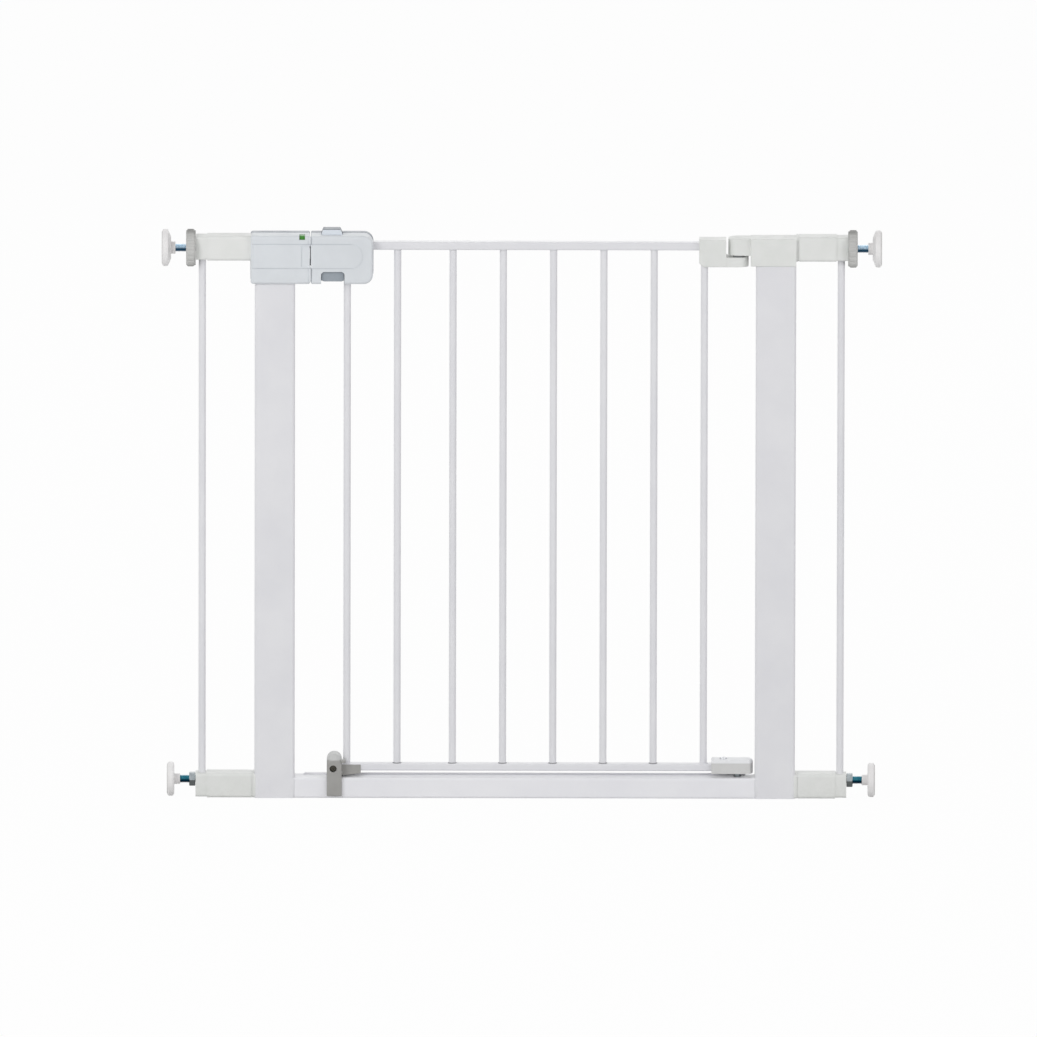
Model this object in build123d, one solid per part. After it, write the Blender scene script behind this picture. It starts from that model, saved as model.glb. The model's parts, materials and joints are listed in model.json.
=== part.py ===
from build123d import *
import os
from math import pi

# Pressure-fitted safety gate. Millimetres: X to the right, Y away from the viewer, Z up from the floor.
# The origin is on the floor, midway between the posts.

# Frame tubes
GATE_HEIGHT = 710.0  # floor to the top of the two latch housings
POST_SPACING = 621.0  # between the posts' centre lines
POST_WIDTH = 50.0
POST_DEPTH = 30.0
POST_CORNER = 4.0
POST_TOP_DROP = 7.0  # housings' top down to the post's end
TUBE_WALL = 1.5
THRESHOLD_HEIGHT = 26.0
THRESHOLD_CORNER = 3.0

# Clearances
FIT = 0.1  # between pieces that are fixed in one another
RUN = 0.3  # between pieces that move past one another
BEARING_FIT = 0.08  # between a hinge pin and its bush

# Door
BAR_DIAMETER = 9.0
BAR_WALL = 1.0
BAR_COUNT = 8
FIRST_BAR_INSET = 64.7  # left post's face to the first bar
LAST_BAR_INSET = 63.8  # last bar to the right post's face
WIDE_BAY = 1  # the second bay between bars is wider than the rest
WIDE_BAY_EXTRA = 6.4
TOP_RAIL_HEIGHT = 10.0
BOTTOM_RAIL_HEIGHT = 8.8
RAIL_DEPTH = 14.0
RAIL_CORNER = 2.0
RAIL_WALL = 1.2
RAIL_LEFT_OVERRUN = 6.7  # rail's end past the first bar's centre line
RAIL_RIGHT_OVERRUN = 22.0  # rail's end past the last bar's centre line
BOTTOM_RAIL_GAP = 7.4  # threshold to the bottom rail
TOP_RAIL_DROP = 10.0  # housings' top down to the top rail's upper face

# Hinges
HINGE_INSET = 21.5  # hinge axis to the right post's face
HINGE_PIN_DIAMETER = 7.0
HINGE_BUSH_WALL = 2.0
BUSH_FLANGE_WALL = 2.0
BUSH_FLANGE_THICKNESS = 1.2
BRACKET_HEIGHT = 34.4
BRACKET_WALL = 2.0  # in front of and behind the post
BRACKET_ROOF = 3.0  # over the post's end
BRACKET_LIP = 6.5  # in front of the post's inner face
BRACKET_ROUND = 1.5
OVERHANG_RADIUS = 12.8
OVERHANG_HEIGHT = 21.3
TONGUE_RADIUS = 12.4
TONGUE_THICKNESS = 12.0
TONGUE_GAP = 2.7
KNUCKLE_GAP = 2.6
KNUCKLE_LENGTH = 33.5
KNUCKLE_DEPTH = 26.0
KNUCKLE_DROP = 1.8  # bracket's top down to the knuckle's top
KNUCKLE_CHAMFER = 5.0
KNUCKLE_ROUND = 1.5
PIN_STICK_OUT = 1.5
UPPER_PIN_DEPTH = 17.0  # pin's length inside the bracket
BLOCK_REACH = 32.2  # hinge axis to the block's left end
BLOCK_END_RADIUS = 19.2
BLOCK_HEIGHT = 17.2
BLOCK_DEPTH = 23.0
BLOCK_ROUND = 3.0
BLOCK_GAP = 5.0  # threshold to the block
BLOCK_BORE_DEPTH = 12.5
WASHER_THICKNESS = 1.2
WASHER_DIAMETER = 12.0
PIN_COLLAR_DIAMETER = 8.6
LOWER_PIN_ROOT = 12.0  # pin's length inside the threshold
BLOCK_SCREW_SETBACK = 17.4  # hinge axis to the block's screw
BLOCK_SCREW_HEAD = 9.0
BLOCK_SCREW_HEAD_HEIGHT = 1.8
BLOCK_SCREW_SHANK = 4.0

# Latch housings
STRIKE_OVERLAP = 5.5  # past the left post's outer face
STRIKE_REACH = 18.1  # past the left post's inner face
LATCH_GAP = 1.4  # strike to handle
LATCH_RIM_DEPTH = 24.0  # low rim round the noses, which closes most of that gap
LATCH_LIP_GAP = 0.5  # strike to the lip that closes the gap above the noses
LATCH_LIP_SINK = 1.5  # lip behind the front face
SHELL_STEP = 0.5  # front shell's outline inside the rear shell's
SEAM_WIDTH = 0.5  # groove where a housing's two shells meet
SEAM_DEPTH = 0.7
HANDLE_LENGTH = 77.4
HOUSING_HEIGHT = 61.6
HOUSING_DEPTH = 40.0
HOUSING_WALL = 2.5
HOUSING_EDGE = 3.5  # rounding along the front and rear edges
HANDLE_END_ROUND = 12.0
STRIKE_END_ROUND = 3.5
MEETING_ROUND = 2.0  # corners of the two ends that face each other
BAND_DROP = 25.8  # housings' top down to the raised band's centre line
BAND_HEIGHT = 30.2
BAND_RAISE = 1.0
BAND_END_MARGIN = 13.6  # handle's right end to the band's round end
FINGER_RECESS_LENGTH = 10.5
FINGER_RECESS_HEIGHT = 27.0
FINGER_RECESS_DEPTH = 1.2

# Squeeze latch
SQUEEZE_TRAVEL = 6.0
BUTTON_SETBACK = 12.9  # handle's left end to the buttons
BUTTON_LENGTH = 26.1
BUTTON_DEPTH = 18.0
BUTTON_STICK_OUT = 6.5
BUTTON_ROUND = 2.0
BUTTON_LEAN = 2.6  # top button's sides lean in by this much
LOWER_BUTTON_LENGTH = 28.5
LOWER_BUTTON_HEIGHT = 12.4
LOWER_BUTTON_LIFT = 3.5  # handle's lower edge up to the button
LOWER_BUTTON_RECESS = 3.5  # behind the handle's front face
LOWER_BUTTON_GRIP = 4.2  # thickness of the pressed plate
LOWER_BUTTON_CORNER = 4.0
LOWER_OPENING_BACK = 10.0
SLIDE_LENGTH = 24.1
SLIDE_DEPTH = 23.0
SLIDE_FOOT_REACH = 3.0
SLIDE_STEM_DIAMETER = 6.0
SLIDE_STEM_HEIGHT = 5.0
NOSE_HEIGHT = 5.0
NOSE_DEPTH = 14.0
NOSE_REACH = 13.6  # past the strike's end face
WEB_THICKNESS = 3.0
WEB_FRONT = 9.0  # web's reach in front of the middle plane
PRESSED_GAP = 0.5  # pressed slide to the web
CHANNEL_SPARE = 0.5
POCKET_SIDE_GAP = 0.8
SPRING_MEAN_RADIUS = 3.3
SPRING_WIRE = 0.8
SPRING_TURNS = 5
SPRING_POCKET_DEPTH = 10.0
SPRING_POCKET_RADIUS = 4.3
SPRING_SPIGOT_RADIUS = 2.4
SPRING_SPIGOT_HEIGHT = 2.5
GUIDE_RIB = 2.9

# Lock indicator
FLAG_SETBACK = 6.2  # strike's end face to the flag
FLAG_WIDTH = 6.5
FLAG_FOOT_THICKNESS = 1.8
FLAG_FOOT_BACK = 3.0
WINDOW_FRONT_HEIGHT = 5.3
WINDOW_BACK = 5.2  # middle plane to the window's rear edge
BACKING_THICKNESS = 2.0
BACKING_OVERLAP = 2.6

# Fasteners
SCREW_DIAMETER = 2.8
SCREW_HEAD_DIAMETER = 5.6
SCREW_HEAD_HEIGHT = 2.2
SCREW_SINK = 0.6  # head below the rear face
BOSS_RADIUS = 3.3
HANDLE_SCREW_TIP = 12.0
STRIKE_SCREW_SETBACK = 12.5  # left post's inner face to the screws
STRIKE_SCREW_TIP = 16.0
SCREW_EDGE_MARGIN = 11.0  # housings' top and bottom to the screws
BRACKET_SCREW_TIP = 8.0  # screw's length inside the post
BRACKET_SCREW_SPACING = 11.0

# Bottom catch
CATCH_SETBACK = 39.9  # left post's inner face to the catch
CATCH_WIDTH = 18.6
CATCH_TOP = 55.5
CATCH_FACE_TOP = 48.8  # the front face ends here and slopes back to the top
CATCH_SLOPE_DEPTH = 8.0
CATCH_PLATE_BASE = 3.4
CATCH_PLATE_THICKNESS = 4.0
CATCH_LEG_THICKNESS = 3.0
CATCH_LEG_BASE = 6.0
CATCH_BACK = 9.0
CATCH_SOCKET_DEPTH = 7.4
CATCH_ROUND = 1.5
CATCH_LIP_REACH = 4.5
CATCH_LIP_HEIGHT = 4.5
CATCH_SCREW_SETBACK = 7.9
CATCH_SCREW_HEIGHT = 37.8
CATCH_SCREW_HEAD = 8.6
CATCH_SCREW_SINK = 3.0
CATCH_SCREW_LENGTH = 18.0
CATCH_SCREW_SHANK = 4.0
CAP_WALL = 1.0
CAP_LENGTH = 25.0
CAP_OPEN = 1.2  # rail's top down to the shoe's walls
CAP_CLEARANCE = 2.0  # shoe's foot to the threshold

# Extensions
LEFT_EXTENSION = 73.0  # post's outer face to the arm's outer end
RIGHT_EXTENSION = 63.8
ARM_HEIGHT = 31.2
ARM_DEPTH = 28.0
ARM_WALL = 2.2
ARM_CORNER = 4.0
ARM_SEAM_SETBACK = 2.5  # post's outer face to the arm's seam
ARM_SEAM_WIDTH = 0.8
ARM_SEAM_DEPTH = 0.8
TOP_ARM_DROP = 1.8  # housings' top down to the arm's top
PLUG_LENGTH = 14.0
PLUG_STEP = 1.0  # plug's face below the arm's
PLUG_TAIL = 10.0  # plug's length inside the arm
SPIGOT_HEIGHT = 20.0
SPIGOT_DEPTH = 18.0
SPIGOT_LENGTH = 22.0
EXTENSION_BAR_INSET = 8.0  # arm's outer end to the bar's centre line
EXTENSION_BAR_SEAT = 1.8

# Spindles
ROD_DIAMETER = 10.0
ROD_END_CHAMFER = 1.0
ROD_INNER_LENGTH = 49.0  # arm's outer end to the rod's inner end
TOP_AXIS_DROP = 1.2  # top arm's centre line down to its spindle
BOTTOM_AXIS_HEIGHT = 21.5
WHEEL_DIAMETER = 46.5
WHEEL_THICKNESS = 11.8
WHEEL_EDGE = 2.2
WHEEL_FLUTES = 20
WHEEL_FLUTE_RADIUS = 3.2
WHEEL_FLUTE_DEPTH = 0.9
WHEEL_STEP = 1.6
NUT_ACROSS_FLATS = 16.0
NUT_THICKNESS = 7.6
TOP_PAD_REACH = 42.2  # arm's outer end to the outer face
TOP_PAD_DIAMETER = 46.0
TOP_PAD_RIM = 7.8
TOP_PAD_CONE = 3.6
TOP_PAD_HUB = 5.4
TOP_PAD_HUB_DIAMETER = 15.0
BOTTOM_PAD_REACH = 35.5
BOTTOM_PAD_DIAMETER = 42.4
BOTTOM_PAD_RIM = 8.0
BOTTOM_PAD_CONE = 1.0
BOTTOM_PAD_HUB = 7.2
BOTTOM_PAD_HUB_DIAMETER = 13.0
PAD_EDGE = 1.6
PAD_SLOPE = 2.6  # the shoulder's fall in radius for each unit along the spindle
PAD_FLOOR = 4.0  # pad's web behind the soft face
FACE_SINK = 1.4
FACE_STICK_OUT = 0.6
FACE_MARGIN = 2.5

# Frame planes
post_x = POST_SPACING / 2
post_inner = post_x - POST_WIDTH / 2
post_outer = post_x + POST_WIDTH / 2
post_top = GATE_HEIGHT - POST_TOP_DROP
half_post = POST_DEPTH / 2

# Door lines
bar_radius = BAR_DIAMETER / 2
first_bar = -post_inner + FIRST_BAR_INSET
last_bar = post_inner - LAST_BAR_INSET
bar_pitch = (last_bar - first_bar - WIDE_BAY_EXTRA) / (BAR_COUNT - 1)
top_rail_z1 = GATE_HEIGHT - TOP_RAIL_DROP
top_rail_z0 = top_rail_z1 - TOP_RAIL_HEIGHT
bottom_rail_z0 = THRESHOLD_HEIGHT + BOTTOM_RAIL_GAP
bottom_rail_z1 = bottom_rail_z0 + BOTTOM_RAIL_HEIGHT
rail_x0 = first_bar - RAIL_LEFT_OVERRUN
rail_x1 = last_bar + RAIL_RIGHT_OVERRUN
half_rail = RAIL_DEPTH / 2

# Hinge lines
hinge_x = post_inner - HINGE_INSET
pin_radius = HINGE_PIN_DIAMETER / 2
bush_radius = pin_radius + BEARING_FIT + HINGE_BUSH_WALL
bracket_z1 = post_top + BRACKET_ROOF
bracket_z0 = bracket_z1 - BRACKET_HEIGHT
half_bracket = half_post + BRACKET_WALL
overhang_z0 = bracket_z1 - OVERHANG_HEIGHT
tongue_z1 = overhang_z0 - TONGUE_GAP
tongue_z0 = tongue_z1 - TONGUE_THICKNESS
knuckle_x1 = hinge_x - OVERHANG_RADIUS - KNUCKLE_GAP
knuckle_x0 = knuckle_x1 - KNUCKLE_LENGTH
block_z0 = THRESHOLD_HEIGHT + BLOCK_GAP
block_z1 = block_z0 + BLOCK_HEIGHT

# Housing planes
half_housing = HOUSING_DEPTH / 2
inner_y = half_housing - HOUSING_WALL
housing_z0 = GATE_HEIGHT - HOUSING_HEIGHT
ceiling_z = GATE_HEIGHT - HOUSING_WALL
floor_z = housing_z0 + HOUSING_WALL
strike_x0 = -post_outer - STRIKE_OVERLAP
strike_x1 = -post_inner + STRIKE_REACH
handle_x0 = strike_x1 + LATCH_GAP
handle_x1 = handle_x0 + HANDLE_LENGTH
band_z = GATE_HEIGHT - BAND_DROP
screw_seat = half_housing - SCREW_SINK - SCREW_HEAD_HEIGHT

# Latch planes: the two slides mirror each other about the band's centre line
button_x0 = handle_x0 + BUTTON_SETBACK
button_x1 = button_x0 + BUTTON_LENGTH
lower_button_x1 = button_x0 + LOWER_BUTTON_LENGTH
slide_x1 = button_x0 + SLIDE_LENGTH
slide_offset = WEB_THICKNESS / 2 + PRESSED_GAP + SQUEEZE_TRAVEL
upper_slide_z0 = band_z + slide_offset
upper_slide_z1 = ceiling_z - RUN
lower_slide_z1 = band_z - slide_offset
lower_button_z0 = housing_z0 + LOWER_BUTTON_LIFT
lower_button_z1 = lower_button_z0 + LOWER_BUTTON_HEIGHT
lower_slide_z0 = lower_button_z0 + LOWER_BUTTON_GRIP
nose_x0 = strike_x1 - NOSE_REACH
half_nose = NOSE_DEPTH / 2
half_channel = slide_offset + NOSE_HEIGHT - SQUEEZE_TRAVEL + CHANNEL_SPARE
half_mouth = slide_offset + NOSE_HEIGHT + CHANNEL_SPARE
pocket_y = half_nose + POCKET_SIDE_GAP
shell_split = pocket_y  # the housings' shells part behind the noses
pocket_x0 = nose_x0 - RUN
spring_x = (button_x0 + slide_x1) / 2
guide_x1 = button_x0 - RUN
flag_x1 = strike_x1 - FLAG_SETBACK
flag_x0 = flag_x1 - FLAG_WIDTH
flag_z0 = upper_slide_z0 + NOSE_HEIGHT + FIT
backing_y0 = -WINDOW_BACK

# Catch lines
catch_x0 = -post_inner + CATCH_SETBACK
catch_x1 = catch_x0 + CATCH_WIDTH
catch_socket_x0 = catch_x1 - CATCH_SOCKET_DEPTH
catch_plate_y = -half_post - FIT - CATCH_PLATE_THICKNESS

# Spindle lines
left_end = post_outer + LEFT_EXTENSION
right_end = post_outer + RIGHT_EXTENSION
top_arm_z = GATE_HEIGHT - TOP_ARM_DROP - ARM_HEIGHT / 2
bottom_arm_z = ARM_HEIGHT / 2
top_axis_z = top_arm_z - TOP_AXIS_DROP
rod_radius = ROD_DIAMETER / 2
BEYOND = 2 * GATE_HEIGHT  # larger than the gate, for cuts that run right through


def block(x0, x1, y0, y1, z0, z1):
    """A box between two corners."""
    return Pos((x0 + x1) / 2, (y0 + y1) / 2, (z0 + z1) / 2) * Box(x1 - x0, y1 - y0, z1 - z0)


def upright(x, y, z0, z1, radius):
    """A round bar along Z."""
    return Pos(x, y, (z0 + z1) / 2) * Cylinder(radius, z1 - z0)


def crosswise(x0, x1, z, radius):
    """A round bar along X, in the middle plane."""
    return Pos((x0 + x1) / 2, 0, z) * Rot(0, 90, 0) * Cylinder(radius, x1 - x0)


def fore_aft(x, z, y0, y1, radius):
    """A round bar along Y."""
    return Pos(x, (y0 + y1) / 2, z) * Rot(90, 0, 0) * Cylinder(radius, y1 - y0)


def prism_x(x0, x1, z, depth, height, corner):
    """A bar along X with a rounded rectangular section, in the middle plane."""
    plane = Plane(origin=(x0, 0, z), x_dir=(0, 1, 0), z_dir=(1, 0, 0))
    return extrude(plane * RectangleRounded(depth, height, corner), x1 - x0)


def prism_z(x, z0, z1, width, depth, corner):
    """A bar along Z with a rounded rectangular section, in the middle plane."""
    plane = Plane(origin=(x, 0, z0))
    return extrude(plane * RectangleRounded(width, depth, corner), z1 - z0)


def front_outline(y0, y1, outline):
    """An outline drawn in X and Z, made solid from y0 to y1."""
    plane = Plane(origin=(0, y1, 0), x_dir=(1, 0, 0), z_dir=(0, -1, 0))
    return extrude(plane * outline, y1 - y0)


def round_edges(solid, radius, chosen):
    """The solid with the chosen edges rounded."""
    return fillet([edge for edge in solid.edges() if chosen(edge.center())], radius)


def near(a, b):
    return abs(a - b) < 0.01


def mirrored(solid):
    """The same piece on the other side of the gate."""
    return mirror(solid, about=Plane.YZ)


def unchanged(solid):
    """A piece that is drawn on its own side already."""
    return solid


def bar_x(index):
    """The centre line of a door bar, counted from the left."""
    shift = WIDE_BAY_EXTRA if index > WIDE_BAY else 0
    return first_bar + index * bar_pitch + shift


# Frame

def post(side):
    """An upright tube, with a socket for each extension arm in its outer face."""
    x = side * post_x
    tube = prism_z(x, 0, post_top, POST_WIDTH, POST_DEPTH, POST_CORNER)
    tube -= prism_z(x, -1, post_top + 1, POST_WIDTH - 2 * TUBE_WALL, POST_DEPTH - 2 * TUBE_WALL,
                    POST_CORNER - TUBE_WALL)
    wall_x0, wall_x1 = sorted((side * (post_outer - 2 * TUBE_WALL), side * (post_outer + 1)))
    for z in (bottom_arm_z, top_arm_z):
        tube -= block(wall_x0, wall_x1, -SPIGOT_DEPTH / 2 - FIT, SPIGOT_DEPTH / 2 + FIT,
                      z - SPIGOT_HEIGHT / 2 - FIT, z + SPIGOT_HEIGHT / 2 + FIT)
    return tube


def left_post():
    tube = post(-1)
    for x, z in strike_screw_places():
        tube -= fore_aft(x, z, -POST_DEPTH, POST_DEPTH, SCREW_DIAMETER / 2 + FIT)
    return tube


def right_post():
    tube = post(1)
    for x, z in bracket_screw_places():
        tube -= fore_aft(x, z, 0, POST_DEPTH, SCREW_DIAMETER / 2 + FIT)
    return tube


def threshold_bar():
    """The floor bar that joins the posts, with a hole for the lower hinge pin."""
    z = THRESHOLD_HEIGHT / 2
    tube = prism_x(-post_inner, post_inner, z, POST_DEPTH, THRESHOLD_HEIGHT, THRESHOLD_CORNER)
    tube -= prism_x(-post_inner - 1, post_inner + 1, z, POST_DEPTH - 2 * TUBE_WALL,
                    THRESHOLD_HEIGHT - 2 * TUBE_WALL, THRESHOLD_CORNER - TUBE_WALL)
    return tube - upright(hinge_x, 0, z, THRESHOLD_HEIGHT + 1, pin_radius + FIT)


# Hinges

def hinge_bracket():
    """A cap over the right post's end, with an overhanging arm that holds the upper pin."""
    body = block(post_inner - BRACKET_LIP, post_outer, -half_bracket, half_bracket, bracket_z0, bracket_z1)
    body = round_edges(body, BRACKET_ROUND,
                       lambda c: near(abs(c.Y), half_bracket) and not near(c.X, post_outer))
    arm = upright(hinge_x, 0, overhang_z0, bracket_z1, OVERHANG_RADIUS)
    arm += block(hinge_x, post_inner - BRACKET_LIP + BRACKET_ROUND, -OVERHANG_RADIUS, OVERHANG_RADIUS,
                 overhang_z0, bracket_z1)
    arm = round_edges(arm, BRACKET_ROUND, lambda c: near(c.Z, bracket_z1) and c.X < post_inner - BRACKET_LIP)
    body += arm
    body -= prism_z(post_x, bracket_z0 - 1, post_top, POST_WIDTH, POST_DEPTH, POST_CORNER)
    body -= block(post_x, post_outer + 1, -half_post, half_post, bracket_z0 - 1, post_top)
    body -= upright(hinge_x, 0, overhang_z0 - 1, overhang_z0 + UPPER_PIN_DEPTH + FIT, pin_radius + FIT)
    for x, z in bracket_screw_places():
        body -= fore_aft(x, z, half_post - 1, half_bracket + 1, SCREW_DIAMETER / 2 + FIT)
    return body


def upper_hinge_pin():
    return upright(hinge_x, 0, tongue_z0 - PIN_STICK_OUT, overhang_z0 + UPPER_PIN_DEPTH, pin_radius)


def hinge_knuckle():
    """The door's upper hinge: a block on the top rail's end, with a tongue below the bracket's arm."""
    top = bracket_z1 - KNUCKLE_DROP
    half = KNUCKLE_DEPTH / 2
    body = block(knuckle_x0, knuckle_x1, -half, half, tongue_z0, top)
    corner = body.edges().filter_by(Axis.Y).sort_by(Axis.Z)[:2].sort_by(Axis.X)[0]
    body = chamfer(corner, KNUCKLE_CHAMFER)
    body = round_edges(body, KNUCKLE_ROUND, lambda c: near(abs(c.Y), half) and c.X < knuckle_x1 - 1)
    body += upright(hinge_x, 0, tongue_z0, tongue_z1, TONGUE_RADIUS)
    body += block(knuckle_x1 - KNUCKLE_ROUND, hinge_x, -TONGUE_RADIUS, TONGUE_RADIUS, tongue_z0, tongue_z1)
    body -= prism_x(knuckle_x0 - 1, rail_x1 + FIT, top_rail_z1 - TOP_RAIL_HEIGHT / 2, RAIL_DEPTH + 2 * FIT,
                    TOP_RAIL_HEIGHT + 2 * FIT, RAIL_CORNER)
    body -= upright(last_bar, 0, tongue_z0 - 1, top_rail_z0, bar_radius + FIT)
    return body - upright(hinge_x, 0, tongue_z0 - 1, tongue_z1 + 1, bush_radius + FIT)


def upper_hinge_bush():
    """A flanged bush in the knuckle's tongue, running on the upper pin."""
    flange = tongue_z1 + BUSH_FLANGE_THICKNESS
    bush = upright(hinge_x, 0, tongue_z0, tongue_z1, bush_radius)
    bush += upright(hinge_x, 0, tongue_z1, flange, bush_radius + BUSH_FLANGE_WALL)
    return bush - upright(hinge_x, 0, tongue_z0 - 1, flange + 1, pin_radius + BEARING_FIT)


def lower_hinge_block():
    """The door's lower hinge: a block on the bottom rail's end, rounded to turn beside the post."""
    half = BLOCK_DEPTH / 2
    body = block(hinge_x - BLOCK_REACH, hinge_x + BLOCK_END_RADIUS, -half, half, block_z0, block_z1)
    body &= upright(hinge_x, 0, block_z0, block_z1, BLOCK_END_RADIUS) + block(
        hinge_x - BLOCK_REACH, hinge_x, -half, half, block_z0, block_z1)
    body = round_edges(body, BLOCK_ROUND, lambda c: near(c.Z, block_z1))
    body -= prism_x(hinge_x - BLOCK_REACH - 1, rail_x1 + FIT, bottom_rail_z1 - BOTTOM_RAIL_HEIGHT / 2,
                    RAIL_DEPTH + 2 * FIT, BOTTOM_RAIL_HEIGHT + 2 * FIT, RAIL_CORNER)
    body -= upright(hinge_x, 0, block_z0 - 1, block_z0 + BLOCK_BORE_DEPTH, bush_radius + FIT)
    return body - upright(hinge_x - BLOCK_SCREW_SETBACK, 0, bottom_rail_z1 - 1, block_z1 + 1,
                          BLOCK_SCREW_SHANK / 2 + FIT)


def lower_hinge_bush():
    bush = upright(hinge_x, 0, block_z0, block_z0 + BLOCK_BORE_DEPTH, bush_radius)
    return bush - upright(hinge_x, 0, block_z0 - 1, block_z0 + BLOCK_BORE_DEPTH + 1, pin_radius + BEARING_FIT)


def lower_hinge_pin():
    """A stud in the threshold, with a collar that carries the washer under the hinge block."""
    collar_z1 = block_z0 - WASHER_THICKNESS - RUN
    stud = upright(hinge_x, 0, THRESHOLD_HEIGHT - LOWER_PIN_ROOT, block_z0 + BLOCK_BORE_DEPTH - 1, pin_radius)
    return stud + upright(hinge_x, 0, THRESHOLD_HEIGHT, collar_z1, PIN_COLLAR_DIAMETER / 2)


def lower_hinge_washer():
    z1 = block_z0 - RUN
    washer = upright(hinge_x, 0, z1 - WASHER_THICKNESS, z1, WASHER_DIAMETER / 2)
    return washer - upright(hinge_x, 0, z1 - WASHER_THICKNESS - 1, z1 + 1, pin_radius + FIT)


def block_screw():
    """The screw that holds the lower hinge block on its rail."""
    x = hinge_x - BLOCK_SCREW_SETBACK
    head = upright(x, 0, block_z1, block_z1 + BLOCK_SCREW_HEAD_HEIGHT, BLOCK_SCREW_HEAD / 2)
    head = round_edges(head, BLOCK_SCREW_HEAD_HEIGHT / 2,
                       lambda c: near(c.Z, block_z1 + BLOCK_SCREW_HEAD_HEIGHT))
    return head + upright(x, 0, bottom_rail_z1 + FIT, block_z1, BLOCK_SCREW_SHANK / 2)


# Door

def door_rail(z0, z1):
    """A flat tube; its ends sit in the hinge piece and in the handle or end cap."""
    z, height = (z0 + z1) / 2, z1 - z0
    tube = prism_x(rail_x0, rail_x1, z, RAIL_DEPTH, height, RAIL_CORNER)
    return tube - prism_x(rail_x0 - 1, rail_x1 + 1, z, RAIL_DEPTH - 2 * RAIL_WALL,
                          height - 2 * RAIL_WALL, RAIL_CORNER - RAIL_WALL)


def round_tube(x, z0, z1):
    """An upright round tube, as used for every bar."""
    return upright(x, 0, z0, z1, bar_radius) - upright(x, 0, z0 - 1, z1 + 1, bar_radius - BAR_WALL)


def door_bar(index):
    return round_tube(bar_x(index), bottom_rail_z1, top_rail_z0)


def rail_end_cap():
    """A shoe on the bottom rail's free end: walls, a sloping foot and a tongue that enters the catch."""
    half = half_rail + CAP_WALL
    z0, z1 = bottom_rail_z0 - CAP_WALL, bottom_rail_z1 + CAP_WALL
    x0 = rail_x0 - CAP_WALL
    sleeve = prism_x(x0, x0 + CAP_LENGTH, (z0 + z1) / 2, 2 * half, z1 - z0, RAIL_CORNER)
    sleeve += block(catch_socket_x0 + RUN, x0 + CAP_WALL / 2, -half, half, z0 + RAIL_CORNER, z1 - RAIL_CORNER)
    x1 = x0 + CAP_LENGTH
    foot_x0 = max(x0, catch_x1 + RUN)
    foot = max(BOTTOM_RAIL_GAP - CAP_WALL - CAP_CLEARANCE, RUN)
    sleeve += front_outline(-half, half, make_face(Polyline(
        (foot_x0, z0 + RAIL_CORNER), (foot_x0, z0 - foot), (x1, z0 - foot / 2), (x1, z0 + RAIL_CORNER),
        close=True)))
    sleeve -= prism_x(rail_x0 - FIT, x1 + 1, (z0 + z1) / 2, RAIL_DEPTH + 2 * FIT,
                      BOTTOM_RAIL_HEIGHT + 2 * FIT, RAIL_CORNER)
    return sleeve - block(rail_x0 - FIT, x1 + 1, -half - 1, half + 1, bottom_rail_z1 - CAP_OPEN, z1 + 1)


# Latch housings

def housing_outline(x0, x1, left_round, right_round, inset):
    """A housing's outline seen from the front, with its own radius at each end."""
    width = x1 - x0 - 2 * inset
    sheet = Pos((x0 + x1) / 2, (housing_z0 + GATE_HEIGHT) / 2) * Rectangle(width, HOUSING_HEIGHT - 2 * inset)
    for corners, radius in ((slice(0, 2), left_round - inset), (slice(-2, None), right_round - inset)):
        if radius > 0:
            sheet = fillet(sheet.vertices().sort_by(Axis.X)[corners], radius)
    return sheet


def housing_shell(x0, x1, left_round, right_round, meeting_x):
    """A hollow housing with soft edges everywhere but at the end that meets the other housing."""
    front_x0 = x0 - SHELL_STEP if near(meeting_x, x0) else x0
    front_x1 = x1 + SHELL_STEP if near(meeting_x, x1) else x1
    front = housing_outline(front_x0, front_x1, left_round, right_round, SHELL_STEP)
    rear = housing_outline(x0, x1, left_round, right_round, 0)
    outer = front_outline(-half_housing, shell_split, front) + front_outline(shell_split, half_housing, rear)
    outer = round_edges(outer, HOUSING_EDGE,
                        lambda c: near(abs(c.Y), half_housing) and abs(c.X - meeting_x) > MEETING_ROUND)
    outer += raised_band(x0, x1, meeting_x)
    hollow = housing_outline(x0, x1, left_round, right_round, HOUSING_WALL)
    outer -= front_outline(-inner_y, inner_y, hollow)
    seam = rear - housing_outline(x0, x1, left_round, right_round, SHELL_STEP + SEAM_DEPTH)
    return outer - front_outline(shell_split - SEAM_WIDTH, shell_split, seam)


def raised_band(x0, x1, meeting_x):
    """The low band across the front of both housings; it ends in a half circle on the handle."""
    radius = BAND_HEIGHT / 2
    if near(meeting_x, x0):
        end = x1 - BAND_END_MARGIN - radius
        outline = Pos((x0 + end) / 2, band_z) * Rectangle(end - x0, BAND_HEIGHT)
        outline += Pos(end, band_z) * Circle(radius)
    else:
        start = x0 + SHELL_STEP + HOUSING_EDGE
        outline = Pos((start + x1) / 2, band_z) * Rectangle(x1 - start, BAND_HEIGHT)
    return front_outline(-half_housing - BAND_RAISE, -inner_y, outline)


def front_half(shell):
    return shell & block(-BEYOND, BEYOND, -BEYOND, shell_split, -BEYOND, BEYOND)


def rear_half(shell):
    return shell & block(-BEYOND, BEYOND, shell_split, BEYOND, -BEYOND, BEYOND)


def handle_screw_places():
    """Two screws beside the meeting end and one under the top rail."""
    near_x = handle_x0 + HOUSING_WALL + BOSS_RADIUS - RUN
    far_x = handle_x1 - HANDLE_END_ROUND - BOSS_RADIUS
    low, high = housing_z0 + SCREW_EDGE_MARGIN, GATE_HEIGHT - HOUSING_WALL - BOSS_RADIUS - RUN
    return [(near_x, low), (near_x, high), (far_x, low + 2 * BOSS_RADIUS)]


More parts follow.
